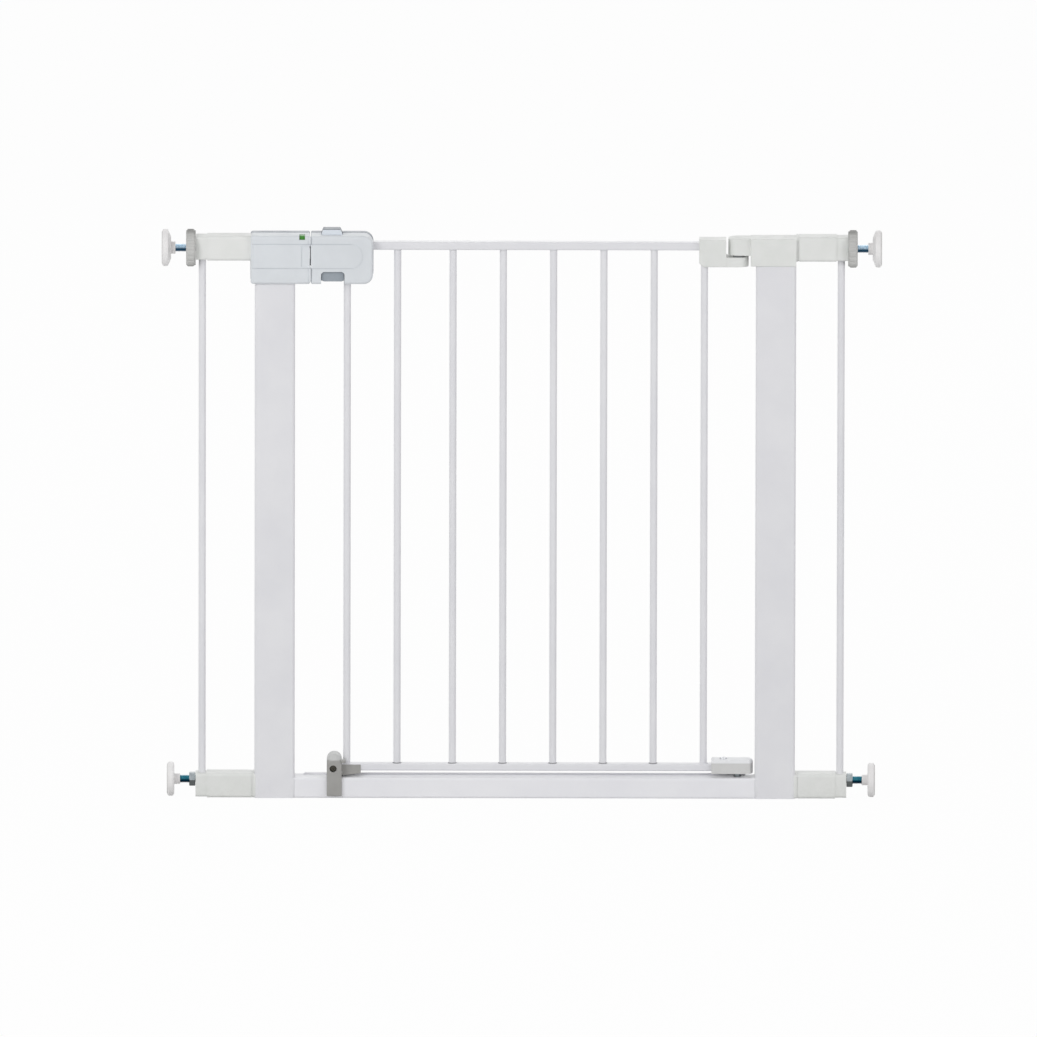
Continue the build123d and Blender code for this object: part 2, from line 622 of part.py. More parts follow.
def strike_screw_places():
    """Two long screws that run through the left post."""
    x = -post_inner - STRIKE_SCREW_SETBACK
    return [(x, housing_z0 + SCREW_EDGE_MARGIN), (x, post_top - BOSS_RADIUS - RUN)]


def bracket_screw_places():
    """Two screws into the right post's rear wall, clear of the arm's spigot."""
    z = (bracket_z0 + bracket_z1) / 2
    x = post_inner + BRACKET_SCREW_SPACING / 2
    return [(x, z), (x + BRACKET_SCREW_SPACING, z)]


def screw(place, tip, head_y):
    """A pan-head screw put in from the rear."""
    x, z = place
    shank = fore_aft(x, z, tip, head_y, SCREW_DIAMETER / 2)
    return shank + fore_aft(x, z, head_y, head_y + SCREW_HEAD_HEIGHT, SCREW_HEAD_DIAMETER / 2)


def screw_way(place):
    """The stepped hole for a housing screw."""
    x, z = place
    way = fore_aft(x, z, -inner_y + 1, screw_seat + 1, SCREW_DIAMETER / 2 + FIT)
    return way + fore_aft(x, z, screw_seat, half_housing + 1, SCREW_HEAD_DIAMETER / 2 + FIT)


def handle_shell():
    """The handle's housing as one hollow piece, before it is parted into two shells."""
    shell = housing_shell(handle_x0, handle_x1, MEETING_ROUND, HANDLE_END_ROUND, handle_x0)
    for x, z in handle_screw_places():
        shell += fore_aft(x, z, -inner_y - 1, inner_y + 1, BOSS_RADIUS)
    for y0, y1 in ((-inner_y - 1, -pocket_y), (pocket_y, inner_y + 1)):
        shell += block(guide_x1 - GUIDE_RIB, guide_x1, y0, y1, floor_z - 1, ceiling_z + 1)
    half_rim, rim_reach = LATCH_RIM_DEPTH / 2, slide_offset + NOSE_HEIGHT
    shell += block(handle_x0 - LATCH_GAP + RUN, handle_x0 + 1, -half_rim, half_rim,
                   band_z - rim_reach, band_z + rim_reach)
    shell += block(handle_x0 - LATCH_GAP + LATCH_LIP_GAP, handle_x0 + 1,
                   -half_housing + LATCH_LIP_SINK, -half_rim + 1,
                   band_z + rim_reach - 1, GATE_HEIGHT - SHELL_STEP - MEETING_ROUND)
    for place in handle_screw_places():
        shell -= screw_way(place)
    shell -= prism_x(handle_x1 - 2 * HOUSING_WALL, handle_x1 + 1, top_rail_z1 - TOP_RAIL_HEIGHT / 2,
                     RAIL_DEPTH + 2 * FIT, TOP_RAIL_HEIGHT + 2 * FIT, RAIL_CORNER)
    shell -= upright(first_bar, 0, housing_z0 - 1, floor_z + 1, bar_radius + FIT)
    shell -= block(button_x0 - RUN, button_x1 + RUN, -BUTTON_DEPTH / 2 - RUN, BUTTON_DEPTH / 2 + RUN,
                   ceiling_z - 1, GATE_HEIGHT + 1)
    shell -= block(button_x0 - RUN, lower_button_x1 + RUN, -half_housing - 1, LOWER_OPENING_BACK,
                   housing_z0 - 1, floor_z)
    shell -= lower_notch()
    for z0, z1 in ((band_z + slide_offset - SQUEEZE_TRAVEL, band_z + slide_offset + NOSE_HEIGHT),
                   (band_z - slide_offset - NOSE_HEIGHT, band_z - slide_offset + SQUEEZE_TRAVEL)):
        shell -= block(handle_x0 - LATCH_GAP, handle_x0 + HOUSING_WALL + 1, -half_nose - RUN, half_nose + RUN,
                       z0 - RUN, z1 + RUN)
    return shell


def lower_notch():
    """The notch in the handle's front wall that the lower button shows in, open at the bottom."""
    height = 2 * LOWER_BUTTON_HEIGHT
    sheet = RectangleRounded(LOWER_BUTTON_LENGTH + 2 * RUN, height, LOWER_BUTTON_CORNER + RUN)
    middle = (button_x0 + lower_button_x1) / 2
    return front_outline(-half_housing - 1, -inner_y + RUN,
                         Pos(middle, lower_button_z1 + RUN - height / 2) * sheet)


def handle_front_shell():
    return front_half(handle_shell())


def handle_rear_shell():
    """The rear shell carries the web between the slides, with a spigot for each spring."""
    shell = rear_half(handle_shell())
    half_web = WEB_THICKNESS / 2
    shell += block(guide_x1, slide_x1, -WEB_FRONT, inner_y + 1, band_z - half_web, band_z + half_web)
    reach = half_web + SPRING_SPIGOT_HEIGHT
    return shell + upright(spring_x, 0, band_z - reach, band_z + reach, SPRING_SPIGOT_RADIUS)


def strike_shell():
    """The strike's housing as one hollow piece, with the pocket that the two noses hook into."""
    shell = housing_shell(strike_x0, strike_x1, STRIKE_END_ROUND, MEETING_ROUND, strike_x1)
    for x, z in strike_screw_places():
        shell += fore_aft(x, z, -inner_y - 1, -half_post, BOSS_RADIUS)
        shell += fore_aft(x, z, half_post, inner_y + 1, BOSS_RADIUS)
    wall_x = strike_x1 - HOUSING_WALL + 1
    for sign in (-1, 1):
        z0, z1 = sorted((band_z + sign * half_channel, band_z + sign * half_mouth))
        shell += block(pocket_x0, wall_x, pocket_y, inner_y + 1, z0, z1)
    flag_low = flag_z0 - SQUEEZE_TRAVEL - RUN
    shell += block(pocket_x0, wall_x, -inner_y - 1, -pocket_y, band_z - half_mouth, flag_low)
    for x0 in (flag_x0 - RUN - BACKING_OVERLAP, flag_x1 + RUN):
        x1 = x0 + BACKING_OVERLAP
        shell += block(x0, x1, -inner_y - 1, -pocket_y, flag_low - 1, ceiling_z + 1)
        shell += block(x0, x1, -inner_y - 1, backing_y0, band_z + half_mouth, ceiling_z + 1)
    for place in strike_screw_places():
        shell -= screw_way(place)
    shell -= prism_x(strike_x0 - 1, -post_outer, top_arm_z, ARM_DEPTH + 2 * FIT, ARM_HEIGHT + 2 * FIT,
                     ARM_CORNER)
    shell -= prism_z(-post_x, housing_z0 - 1, floor_z + 1, POST_WIDTH + 2 * FIT, POST_DEPTH + 2 * FIT,
                     POST_CORNER)
    shell -= block(strike_x1 - HOUSING_WALL - 1, strike_x1 + 1, -pocket_y, pocket_y,
                   band_z - half_mouth, band_z + half_mouth)
    shell -= block(pocket_x0, strike_x1 + 1, -pocket_y, half_housing + 1,
                   band_z - half_channel, band_z + half_channel)
    shell -= block(strike_x1 - FINGER_RECESS_LENGTH, strike_x1 + 1,
                   -BEYOND, -half_housing - BAND_RAISE + FINGER_RECESS_DEPTH,
                   band_z - FINGER_RECESS_HEIGHT / 2, band_z + FINGER_RECESS_HEIGHT / 2)
    return shell - block(flag_x0 - RUN, flag_x1 + RUN, -half_housing - 1, backing_y0,
                         GATE_HEIGHT - WINDOW_FRONT_HEIGHT, GATE_HEIGHT + 1)


def strike_front_shell():
    return front_half(strike_shell())


def strike_rear_shell():
    return rear_half(strike_shell())


# Squeeze latch

def upper_latch_slide():
    """The upper slide: body, nose, stem for the button and a pocket for its spring."""
    half = SLIDE_DEPTH / 2
    slide = block(button_x0, slide_x1, -half, half, upper_slide_z0, upper_slide_z1)
    slide += block(nose_x0, button_x0 + 1, -half_nose, half_nose,
                   upper_slide_z0, upper_slide_z0 + NOSE_HEIGHT)
    slide += upright(spring_x, 0, upper_slide_z1, upper_slide_z1 + SLIDE_STEM_HEIGHT, SLIDE_STEM_DIAMETER / 2)
    return slide - upright(spring_x, 0, upper_slide_z0 - 1, upper_slide_z0 + SPRING_POCKET_DEPTH,
                           SPRING_POCKET_RADIUS)


def lower_latch_slide():
    """The lower slide: body, nose, rear foot that rests on the housing's floor, and a spring pocket."""
    half = SLIDE_DEPTH / 2
    slide = block(button_x0, slide_x1, -half, half, lower_slide_z0, lower_slide_z1)
    slide += block(nose_x0, button_x0 + 1, -half_nose, half_nose,
                   lower_slide_z1 - NOSE_HEIGHT, lower_slide_z1)
    foot_y0 = LOWER_OPENING_BACK + RUN
    slide += block(button_x0, slide_x1, foot_y0, half + SLIDE_FOOT_REACH,
                   floor_z + RUN, lower_slide_z0 + SLIDE_FOOT_REACH)
    return slide - upright(spring_x, 0, lower_slide_z1 - SPRING_POCKET_DEPTH, lower_slide_z1 + 1,
                           SPRING_POCKET_RADIUS)


def upper_button():
    """The top button, on the upper slide's stem."""
    z1 = GATE_HEIGHT + BUTTON_STICK_OUT
    outline = make_face(Polyline((button_x0, upper_slide_z1), (button_x0, GATE_HEIGHT),
                                 (button_x0 + BUTTON_LEAN, z1), (button_x1 - BUTTON_LEAN, z1),
                                 (button_x1, GATE_HEIGHT), (button_x1, upper_slide_z1),
                                 close=True))
    button = front_outline(-BUTTON_DEPTH / 2, BUTTON_DEPTH / 2, outline)
    button = round_edges(button, BUTTON_ROUND, lambda c: near(c.Z, z1))
    return button - upright(spring_x, 0, upper_slide_z1 - 1, upper_slide_z1 + SLIDE_STEM_HEIGHT + FIT,
                            SLIDE_STEM_DIAMETER / 2 + FIT)


def lower_button():
    """The lower button: a face seen in the handle's notch and the plate that fingers press."""
    face_y = -half_housing + LOWER_BUTTON_RECESS
    back_y = -SLIDE_DEPTH / 2
    sheet = RectangleRounded(LOWER_BUTTON_LENGTH, LOWER_BUTTON_HEIGHT, LOWER_BUTTON_CORNER)
    middle = Pos((button_x0 + lower_button_x1) / 2, (lower_button_z0 + lower_button_z1) / 2)
    button = front_outline(face_y, LOWER_OPENING_BACK - RUN, middle * sheet)
    button = round_edges(button, BUTTON_ROUND / 2, lambda c: near(c.Y, face_y))
    button -= block(slide_x1, lower_button_x1 + 1, back_y, BEYOND, 0, BEYOND)
    return button - block(button_x0 - 1, lower_button_x1 + 1, back_y, BEYOND, lower_slide_z0, BEYOND)


def return_spring(z0, z1):
    """A coil spring between the web and the bottom of a slide's pocket."""
    low, high = z0 + SPRING_WIRE / 2, z1 - SPRING_WIRE / 2
    path = Pos(spring_x, 0, low) * Helix((high - low) / SPRING_TURNS, high - low, SPRING_MEAN_RADIUS)
    section = Plane(origin=path @ 0, z_dir=path % 0) * RegularPolygon(SPRING_WIRE / 2, 8)
    return sweep(section, path, is_frenet=True)


def upper_return_spring():
    return return_spring(band_z + WEB_THICKNESS / 2, upper_slide_z0 + SPRING_POCKET_DEPTH)


def lower_return_spring():
    return return_spring(lower_slide_z1 - SPRING_POCKET_DEPTH, band_z - WEB_THICKNESS / 2)


def indicator_flag():
    """The green flag: it rests on the upper nose and fills the window while the gate is locked."""
    top = GATE_HEIGHT - SHELL_STEP - RUN
    flag = block(flag_x0, flag_x1, -inner_y + RUN, backing_y0 - RUN, flag_z0, top)
    flag = round_edges(flag, HOUSING_WALL, lambda c: near(c.Z, top) and near(c.Y, -inner_y + RUN))
    return flag + block(flag_x0, flag_x1, backing_y0 - 1, FLAG_FOOT_BACK,
                        flag_z0, flag_z0 + FLAG_FOOT_THICKNESS)


def indicator_backing():
    """The fixed red plate that shows in the window once the flag has dropped."""
    over = RUN + BACKING_OVERLAP
    return block(flag_x0 - over, flag_x1 + over, backing_y0, backing_y0 + BACKING_THICKNESS,
                 flag_z0 + FLAG_FOOT_THICKNESS + RUN, ceiling_z)


def frame_screws():
    """The strike's, bracket's and catch's screws, as separate solids."""
    strike = [screw(place, -STRIKE_SCREW_TIP, screw_seat) for place in strike_screw_places()]
    bracket = [screw(place, half_post - BRACKET_SCREW_TIP, half_bracket) for place in bracket_screw_places()]
    return Compound(children=[*strike, *bracket, catch_screw()])


def door_screws():
    """The handle's and the hinge block's screws, as separate solids."""
    handle = [screw(place, -HANDLE_SCREW_TIP, screw_seat) for place in handle_screw_places()]
    return Compound(children=[*handle, block_screw()])


# Bottom catch

def catch_arch(top):
    """The catch's round-topped outline above the threshold."""
    radius, seat_z = CATCH_WIDTH / 2, THRESHOLD_HEIGHT + FIT
    middle, straight = catch_x0 + radius, top - radius - seat_z
    lower = Pos(middle, seat_z + straight / 2) * Rectangle(CATCH_WIDTH, straight)
    return lower + Pos(middle, top - radius) * Circle(radius)


def bottom_catch():
    """A saddle on the threshold: a round-topped plate, and a socket open at the back for the tongue."""
    x0, x1, plate_y = catch_x0, catch_x1, catch_plate_y
    leg_y = half_post + FIT
    seat_z = THRESHOLD_HEIGHT + FIT
    slope_y = plate_y + CATCH_SLOPE_DEPTH
    front, back = (Plane(origin=(0, y, 0), x_dir=(1, 0, 0), z_dir=(0, -1, 0)) * catch_arch(top)
                   for y, top in ((plate_y, CATCH_FACE_TOP), (slope_y, CATCH_TOP)))
    body = loft([back.face(), front.face()])
    body += front_outline(slope_y, CATCH_BACK, catch_arch(CATCH_TOP))
    body += block(x0, x1, plate_y, -half_post - FIT, CATCH_PLATE_BASE, seat_z + 1)
    body = round_edges(body, CATCH_ROUND, lambda c: near(c.Y, plate_y))
    body += block(x0, x1, CATCH_BACK - 1, leg_y + CATCH_LEG_THICKNESS,
                  seat_z, bottom_rail_z0 - CAP_WALL - RUN)
    body += block(x0, x1, leg_y, leg_y + CATCH_LEG_THICKNESS, CATCH_LEG_BASE, seat_z + 1)
    roof_z = bottom_rail_z1 + CAP_WALL + RUN
    wall_y = half_rail + CAP_WALL + RUN
    body += block(x1 - 1, x1 + CATCH_LIP_REACH, plate_y + CATCH_PLATE_THICKNESS, -wall_y,
                  roof_z + 1, roof_z + 1 + CATCH_LIP_HEIGHT)
    body -= block(catch_socket_x0, x1 + 1, -wall_y, CATCH_BACK + 1,
                  bottom_rail_z0 - CAP_WALL - RUN, roof_z)
    x, z = x0 + CATCH_SCREW_SETBACK, CATCH_SCREW_HEIGHT
    body -= fore_aft(x, z, plate_y - 1, plate_y + CATCH_SCREW_LENGTH + 1, CATCH_SCREW_SHANK / 2 + FIT)
    return body - fore_aft(x, z, plate_y - 1, plate_y + CATCH_SCREW_SINK + CATCH_SCREW_SHANK / 2,
                           CATCH_SCREW_HEAD / 2 + FIT)


def catch_screw():
    x, z = catch_x0 + CATCH_SCREW_SETBACK, CATCH_SCREW_HEIGHT
    head_y = catch_plate_y + CATCH_SCREW_SINK
    head = fore_aft(x, z, head_y, head_y + CATCH_SCREW_SHANK / 2, CATCH_SCREW_HEAD / 2)
    return head + fore_aft(x, z, head_y, catch_plate_y + CATCH_SCREW_LENGTH, CATCH_SCREW_SHANK / 2)


# Extensions and spindles, drawn on the right side

def extension_arm(z, end):
    """A hollow arm with a spigot that plugs into the post's socket."""
    plug_x0 = end - PLUG_LENGTH
    arm = prism_x(post_outer, plug_x0, z, ARM_DEPTH, ARM_HEIGHT, ARM_CORNER)
    arm += prism_x(post_outer - SPIGOT_LENGTH, post_outer + ARM_WALL, z, SPIGOT_DEPTH, SPIGOT_HEIGHT,
                   ARM_WALL)
    arm -= prism_x(post_outer + ARM_WALL, plug_x0 + 1, z, ARM_DEPTH - 2 * ARM_WALL, ARM_HEIGHT - 2 * ARM_WALL,
                   ARM_CORNER - ARM_WALL)
    seam_x0 = post_outer + ARM_SEAM_SETBACK
    seam_x1 = seam_x0 + ARM_SEAM_WIDTH
    core = prism_x(seam_x0 - 1, seam_x1 + 1, z, ARM_DEPTH - 2 * ARM_SEAM_DEPTH,
                   ARM_HEIGHT - 2 * ARM_SEAM_DEPTH, ARM_CORNER - ARM_SEAM_DEPTH)
    arm -= prism_x(seam_x0, seam_x1, z, ARM_DEPTH + 2, ARM_HEIGHT + 2, ARM_CORNER) - core
    return arm - prism_x(post_outer - SPIGOT_LENGTH - 1, post_outer + ARM_WALL + 1, z,
                         SPIGOT_DEPTH - 2 * ARM_WALL, SPIGOT_HEIGHT - 2 * ARM_WALL, ARM_WALL / 2)


def end_plug(end, arm_z, axis_z, bar_side):
    """The arm's end plug: it guides the rod and holds one end of the extension's bar."""
    height = ARM_HEIGHT - 2 * PLUG_STEP
    plug_x0 = end - PLUG_LENGTH
    plug = prism_x(plug_x0, end, arm_z, ARM_DEPTH - 2 * PLUG_STEP, height, ARM_CORNER - PLUG_STEP)
    plug += prism_x(plug_x0 - PLUG_TAIL, plug_x0 + 1, arm_z, ARM_DEPTH - 2 * ARM_WALL - 2 * FIT,
                    ARM_HEIGHT - 2 * ARM_WALL - 2 * FIT, ARM_CORNER - ARM_WALL)
    plug -= crosswise(plug_x0 - PLUG_TAIL - 1, end + 1, axis_z, rod_radius + RUN)
    face_z = arm_z + bar_side * height / 2
    z0, z1 = sorted((face_z - bar_side * EXTENSION_BAR_SEAT, face_z + bar_side))
    return plug - upright(end - EXTENSION_BAR_INSET, 0, z0, z1, bar_radius + FIT)


def extension_bar(end):
    half_plug = ARM_HEIGHT / 2 - PLUG_STEP
    return round_tube(end - EXTENSION_BAR_INSET, bottom_arm_z + half_plug - EXTENSION_BAR_SEAT,
                      top_arm_z - half_plug + EXTENSION_BAR_SEAT)


def spindle_rod(end, z, reach):
    """A threaded rod, drawn at its outside diameter; its outer end sits in the pad."""
    rod = crosswise(end - ROD_INNER_LENGTH, end + reach - PAD_FLOOR, z, rod_radius)
    return chamfer(rod.edges().filter_by(GeomType.CIRCLE), ROD_END_CHAMFER)


def turned(points, z):
    """A piece turned about a spindle's line from points given as place along X and radius."""
    outline = make_face(Polyline(*[(x, r) for x, r in points], close=True))
    return Pos(0, 0, z) * revolve(Plane.XZ * outline, Axis.X)


def wall_pad(z, face, diameter, rim, cone, hub, hub_diameter):
    """A round pad: a rim with a seat for its soft face, a shoulder and a hub on the rod."""
    radius, hub_radius = diameter / 2, hub_diameter / 2
    outer = face - FACE_STICK_OUT
    inner = face - rim
    hub_x = inner - cone - hub
    shoulder = max(radius - PAD_SLOPE * cone, hub_radius)
    pad = turned([(hub_x, 0), (hub_x, hub_radius), (inner - cone, hub_radius), (inner - cone, shoulder),
                  (inner, radius - PAD_EDGE / 2), (inner + PAD_EDGE, radius), (outer - PAD_EDGE, radius),
                  (outer, radius - PAD_EDGE), (outer, 0)], z)
    pad -= crosswise(face - FACE_SINK - FACE_STICK_OUT, face + 1, z, radius - FACE_MARGIN + FIT)
    return pad - crosswise(hub_x - 1, face - PAD_FLOOR + FIT, z, rod_radius + FIT)


def pad_face(z, face, diameter):
    """The soft disc that presses on the wall."""
    disc = crosswise(face - FACE_SINK - FACE_STICK_OUT, face, z, diameter / 2 - FACE_MARGIN)
    return round_edges(disc, FACE_STICK_OUT, lambda c: near(c.X, face))


def hand_wheel(end):
    """A fluted wheel that runs on the top rod and bears on the arm's end plug."""
    x0 = end + RUN
    x1 = x0 + WHEEL_THICKNESS
    radius = WHEEL_DIAMETER / 2
    blank = turned([(x0, 0), (x0, radius - WHEEL_STEP), (x0 + WHEEL_STEP, radius - WHEEL_STEP),
                    (x0 + WHEEL_STEP, radius - WHEEL_STEP / 2), (x0 + 2 * WHEEL_STEP, radius),
                    (x1 - WHEEL_EDGE, radius), (x1, radius - WHEEL_EDGE), (x1, 0)], top_axis_z)
    flute_line = radius + WHEEL_FLUTE_RADIUS - WHEEL_FLUTE_DEPTH
    rim = Circle(radius + 1) - PolarLocations(flute_line, WHEEL_FLUTES) * Circle(WHEEL_FLUTE_RADIUS)
    plane = Plane(origin=(x0 - 1, 0, top_axis_z), x_dir=(0, 1, 0), z_dir=(1, 0, 0))
    wheel = blank & extrude(plane * rim, WHEEL_THICKNESS + 2)
    return wheel - crosswise(x0 - 1, x1 + 1, top_axis_z, rod_radius + BEARING_FIT)


def lock_nut(end):
    """A hexagon nut on the bottom rod, with chamfered corners."""
    x0 = end + RUN
    x1 = x0 + NUT_THICKNESS
    plane = Plane(origin=(x0, 0, BOTTOM_AXIS_HEIGHT), x_dir=(0, 1, 0), z_dir=(1, 0, 0))
    hexagon = RegularPolygon(NUT_ACROSS_FLATS / 2, 6, major_radius=False)
    corner = NUT_ACROSS_FLATS / 2 / 0.866
    edge = corner - NUT_ACROSS_FLATS / 2
    barrel = turned([(x0, 0), (x0, corner - edge), (x0 + edge / 2, corner), (x1 - edge / 2, corner),
                     (x1, corner - edge), (x1, 0)], BOTTOM_AXIS_HEIGHT)
    nut = extrude(plane * hexagon, NUT_THICKNESS) & barrel
    return nut - crosswise(x0 - 1, x1 + 1, BOTTOM_AXIS_HEIGHT, rod_radius + BEARING_FIT)


def end_plugs():
    """The four end plugs, as separate solids."""
    plugs = []
    for end, put in ((left_end, mirrored), (right_end, unchanged)):
        plugs.append(put(end_plug(end, top_arm_z, top_axis_z, -1)))
        plugs.append(put(end_plug(end, bottom_arm_z, BOTTOM_AXIS_HEIGHT, 1)))
    return Compound(children=plugs)


def frame_nodes():
    return {
        "left_post": left_post(),
        "right_post": right_post(),
        "threshold_bar": threshold_bar(),
        "strike_front_shell": strike_front_shell(),
        "strike_rear_shell": strike_rear_shell(),
        "indicator_backing": indicator_backing(),
        "hinge_bracket": hinge_bracket(),
        "upper_hinge_pin": upper_hinge_pin(),
        "lower_hinge_pin": lower_hinge_pin(),
        "lower_hinge_washer": lower_hinge_washer(),
        "bottom_catch": bottom_catch(),
        "frame_screws": frame_screws(),
    }


def extension_nodes():
    nodes = {"extension_end_plugs": end_plugs()}
    for side, end, put in (("left", left_end, mirrored), ("right", right_end, unchanged)):
        nodes[f"{side}_extension_top_arm"] = put(extension_arm(top_arm_z, end))
        nodes[f"{side}_extension_bottom_arm"] = put(extension_arm(bottom_arm_z, end))
        nodes[f"{side}_extension_bar"] = put(extension_bar(end))
    return nodes


def door_nodes():
    nodes = {
        "door_top_rail": door_rail(top_rail_z0, top_rail_z1),
        "door_bottom_rail": door_rail(bottom_rail_z0, bottom_rail_z1),
        "handle_front_shell": handle_front_shell(),
        "handle_rear_shell": handle_rear_shell(),
        "hinge_knuckle": hinge_knuckle(),
        "upper_hinge_bush": upper_hinge_bush(),
        "lower_hinge_block": lower_hinge_block(),
        "lower_hinge_bush": lower_hinge_bush(),
        "door_screws": door_screws(),
        "rail_end_cap": rail_end_cap(),
    }
    for index in range(BAR_COUNT):
        nodes[f"door_bar_{index + 1}"] = door_bar(index)
    return nodes


def latch_nodes():
    return {
        "upper_latch_slide": upper_latch_slide(),
        "upper_button": upper_button(),
        "upper_return_spring": upper_return_spring(),
        "lower_latch_slide": lower_latch_slide(),
        "lower_button": lower_button(),
        "lower_return_spring": lower_return_spring(),
        "indicator_flag": indicator_flag(),
    }


def spindle_pieces(end):
    """Both spindles of one extension, drawn on the right side."""
    top, bottom = end + TOP_PAD_REACH, end + BOTTOM_PAD_REACH
    return {
        "top_rod": spindle_rod(end, top_axis_z, TOP_PAD_REACH),
        "top_pad": wall_pad(top_axis_z, top, TOP_PAD_DIAMETER, TOP_PAD_RIM, TOP_PAD_CONE, TOP_PAD_HUB,
                            TOP_PAD_HUB_DIAMETER),
        "top_pad_face": pad_face(top_axis_z, top, TOP_PAD_DIAMETER),
        "hand_wheel": hand_wheel(end),
        "bottom_rod": spindle_rod(end, BOTTOM_AXIS_HEIGHT, BOTTOM_PAD_REACH),
        "bottom_pad": wall_pad(BOTTOM_AXIS_HEIGHT, bottom, BOTTOM_PAD_DIAMETER, BOTTOM_PAD_RIM,
                               BOTTOM_PAD_CONE, BOTTOM_PAD_HUB, BOTTOM_PAD_HUB_DIAMETER),
        "bottom_pad_face": pad_face(BOTTOM_AXIS_HEIGHT, bottom, BOTTOM_PAD_DIAMETER),
        "lock_nut": lock_nut(end),
    }


def spindle_nodes():
    nodes = {}
    for side, end, put in (("left", left_end, mirrored), ("right", right_end, unchanged)):
        for name, piece in spindle_pieces(end).items():
            nodes[f"{side}_{name}"] = put(piece)
    return nodes


os.makedirs("parts", exist_ok=True)
for group in (frame_nodes, extension_nodes, door_nodes, latch_nodes, spindle_nodes):
    for name, solid in group().items():
        export_step(solid, f"parts/{name}.step")
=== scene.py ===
import json
import math
import bpy
from mathutils import Matrix, Vector


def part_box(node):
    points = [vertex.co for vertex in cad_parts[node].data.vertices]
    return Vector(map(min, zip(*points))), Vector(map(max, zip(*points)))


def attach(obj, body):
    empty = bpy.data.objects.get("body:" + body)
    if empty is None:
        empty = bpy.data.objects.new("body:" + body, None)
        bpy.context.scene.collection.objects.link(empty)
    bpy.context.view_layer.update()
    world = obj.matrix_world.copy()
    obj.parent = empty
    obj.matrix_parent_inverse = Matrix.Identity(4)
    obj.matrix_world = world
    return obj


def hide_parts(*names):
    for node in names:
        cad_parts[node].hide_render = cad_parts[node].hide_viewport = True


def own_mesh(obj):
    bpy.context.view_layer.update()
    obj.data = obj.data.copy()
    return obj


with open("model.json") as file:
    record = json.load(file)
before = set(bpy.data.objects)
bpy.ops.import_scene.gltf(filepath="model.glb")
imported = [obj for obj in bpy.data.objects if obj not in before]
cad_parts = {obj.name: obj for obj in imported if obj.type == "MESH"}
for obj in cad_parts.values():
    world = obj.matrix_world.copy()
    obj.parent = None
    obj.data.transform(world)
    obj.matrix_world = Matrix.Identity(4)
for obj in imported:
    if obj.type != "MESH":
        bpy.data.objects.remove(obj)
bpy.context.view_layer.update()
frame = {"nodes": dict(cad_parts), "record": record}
nodes = frame["nodes"]
MM = 0.001

# Sizes shared with the solids and their joints, in millimetres
BAR_COUNT = 8
BAR_RADIUS = 4.5
POST_CORNER = 4.0
THRESHOLD_CORNER = 3.0
ARM_CORNER = 4.0
BAND_DROP = 25.8  # housings' top to the raised band's centre line
BAND_HEIGHT = 30.2
BAND_RAISE = 1.0
BAND_END_MARGIN = 13.6  # handle's right end to the band's round end
LATCH_GAP = 1.4  # strike to handle
COIL_RADIUS = 3.3  # return springs, to the middle of the wire
COIL_WIRE = 0.8
COIL_TURNS = 5
THREAD_PITCH = 1.5
THREAD_CREST = 5.0
HOUSING_SCREW = (2.8, 2.2, 1.4)  # head's radius and height, and the shank's radius
CATCH_SCREW = (4.3, 2.0, 2.0)
BLOCK_SCREW = (4.5, 1.8, 2.0)
SCREW_SEAT_DEPTH = 2.8  # head's seat below a housing's rear face
LOW_SCREW_RISE = 11  # above a housing's bottom
STRIKE_SCREW_INSET = 12.5  # from the post's inner face
STRIKE_TOP_SCREW_DROP = 3.6  # below the post's end
HANDLE_TOP_SCREW_DROP = 6.1
HANDLE_END_SCREW = (15.3, 17.6)  # from the handle's right end, and above its bottom
BRACKET_SCREW_STEPS = (5.5, 16.5)  # from the post's inner face
CATCH_SCREW_INSET = 7.9
CATCH_SCREW_SEAT = 5.0  # behind the catch's front
CATCH_SCREW_HEIGHT = 37.8
BLOCK_SCREW_OFFSET = 17.4  # left of the hinge pin

# Sizes of what is added here, in millimetres
THREAD_ROOT = 4.1
ROD_END_INSET = 0.8
BEAD_RADIUS = 1.2
BEAD_GAP = 0.2  # bar's side to the bead's middle line
BEAD_LIFT = 0.2  # bar's end to the bead's middle line
BEAD_PINCH_FROM = 0.2  # past the middle line, where the bead draws in
BEAD_UNEVEN = 0.12
WELD_CROWN = 0.05
FILL_LAP = 1.4  # strip beside a corner, past the groove
FILL_SHIFT = 0.3
FILL_DEPTH = 6.0
RIB_HEIGHT = 2.0
RIB_WIDTH = 4.0
RIB_SINK = 1.0
RIB_SETBACK = 5.0  # from the threshold's rear face
RIB_END = 9.0  # from each post
RIB_ROUND = 1.2
LIP_SLOT = 0.05  # lip to handle
LIP_ROOT = 1.5  # of the lip, over the strike
LIP_THICKNESS = 0.9
LIP_SINK = 0.02  # behind the strike's face
LIP_DRAFT = 0.3
LIP_EDGE = 0.04
LIP_TOP_DROP = 0.4
LIP_FOOT_RISE = 3.0
NOSE_WINDOW = 26.0  # height of the part of the latch's gap that stays dark
HANDLE_SCREW_INSET = 5.5  # from the front shell's left end
STRIKE_SCREW_LENGTH = 30  # without the head, as in the next four
HANDLE_SCREW_LENGTH = 28
BRACKET_SCREW_LENGTH = 7
CATCH_SCREW_LENGTH = 12
BLOCK_SCREW_LENGTH = 5.8
FACE_EDGE = 0.5
RIM_WIDTH = 1.2
RING_WIDTH = 2.4
GROOVE_WIDTH = 1.0
GROOVE_FLANK = 0.2
GROOVE_DEPTH = 0.5

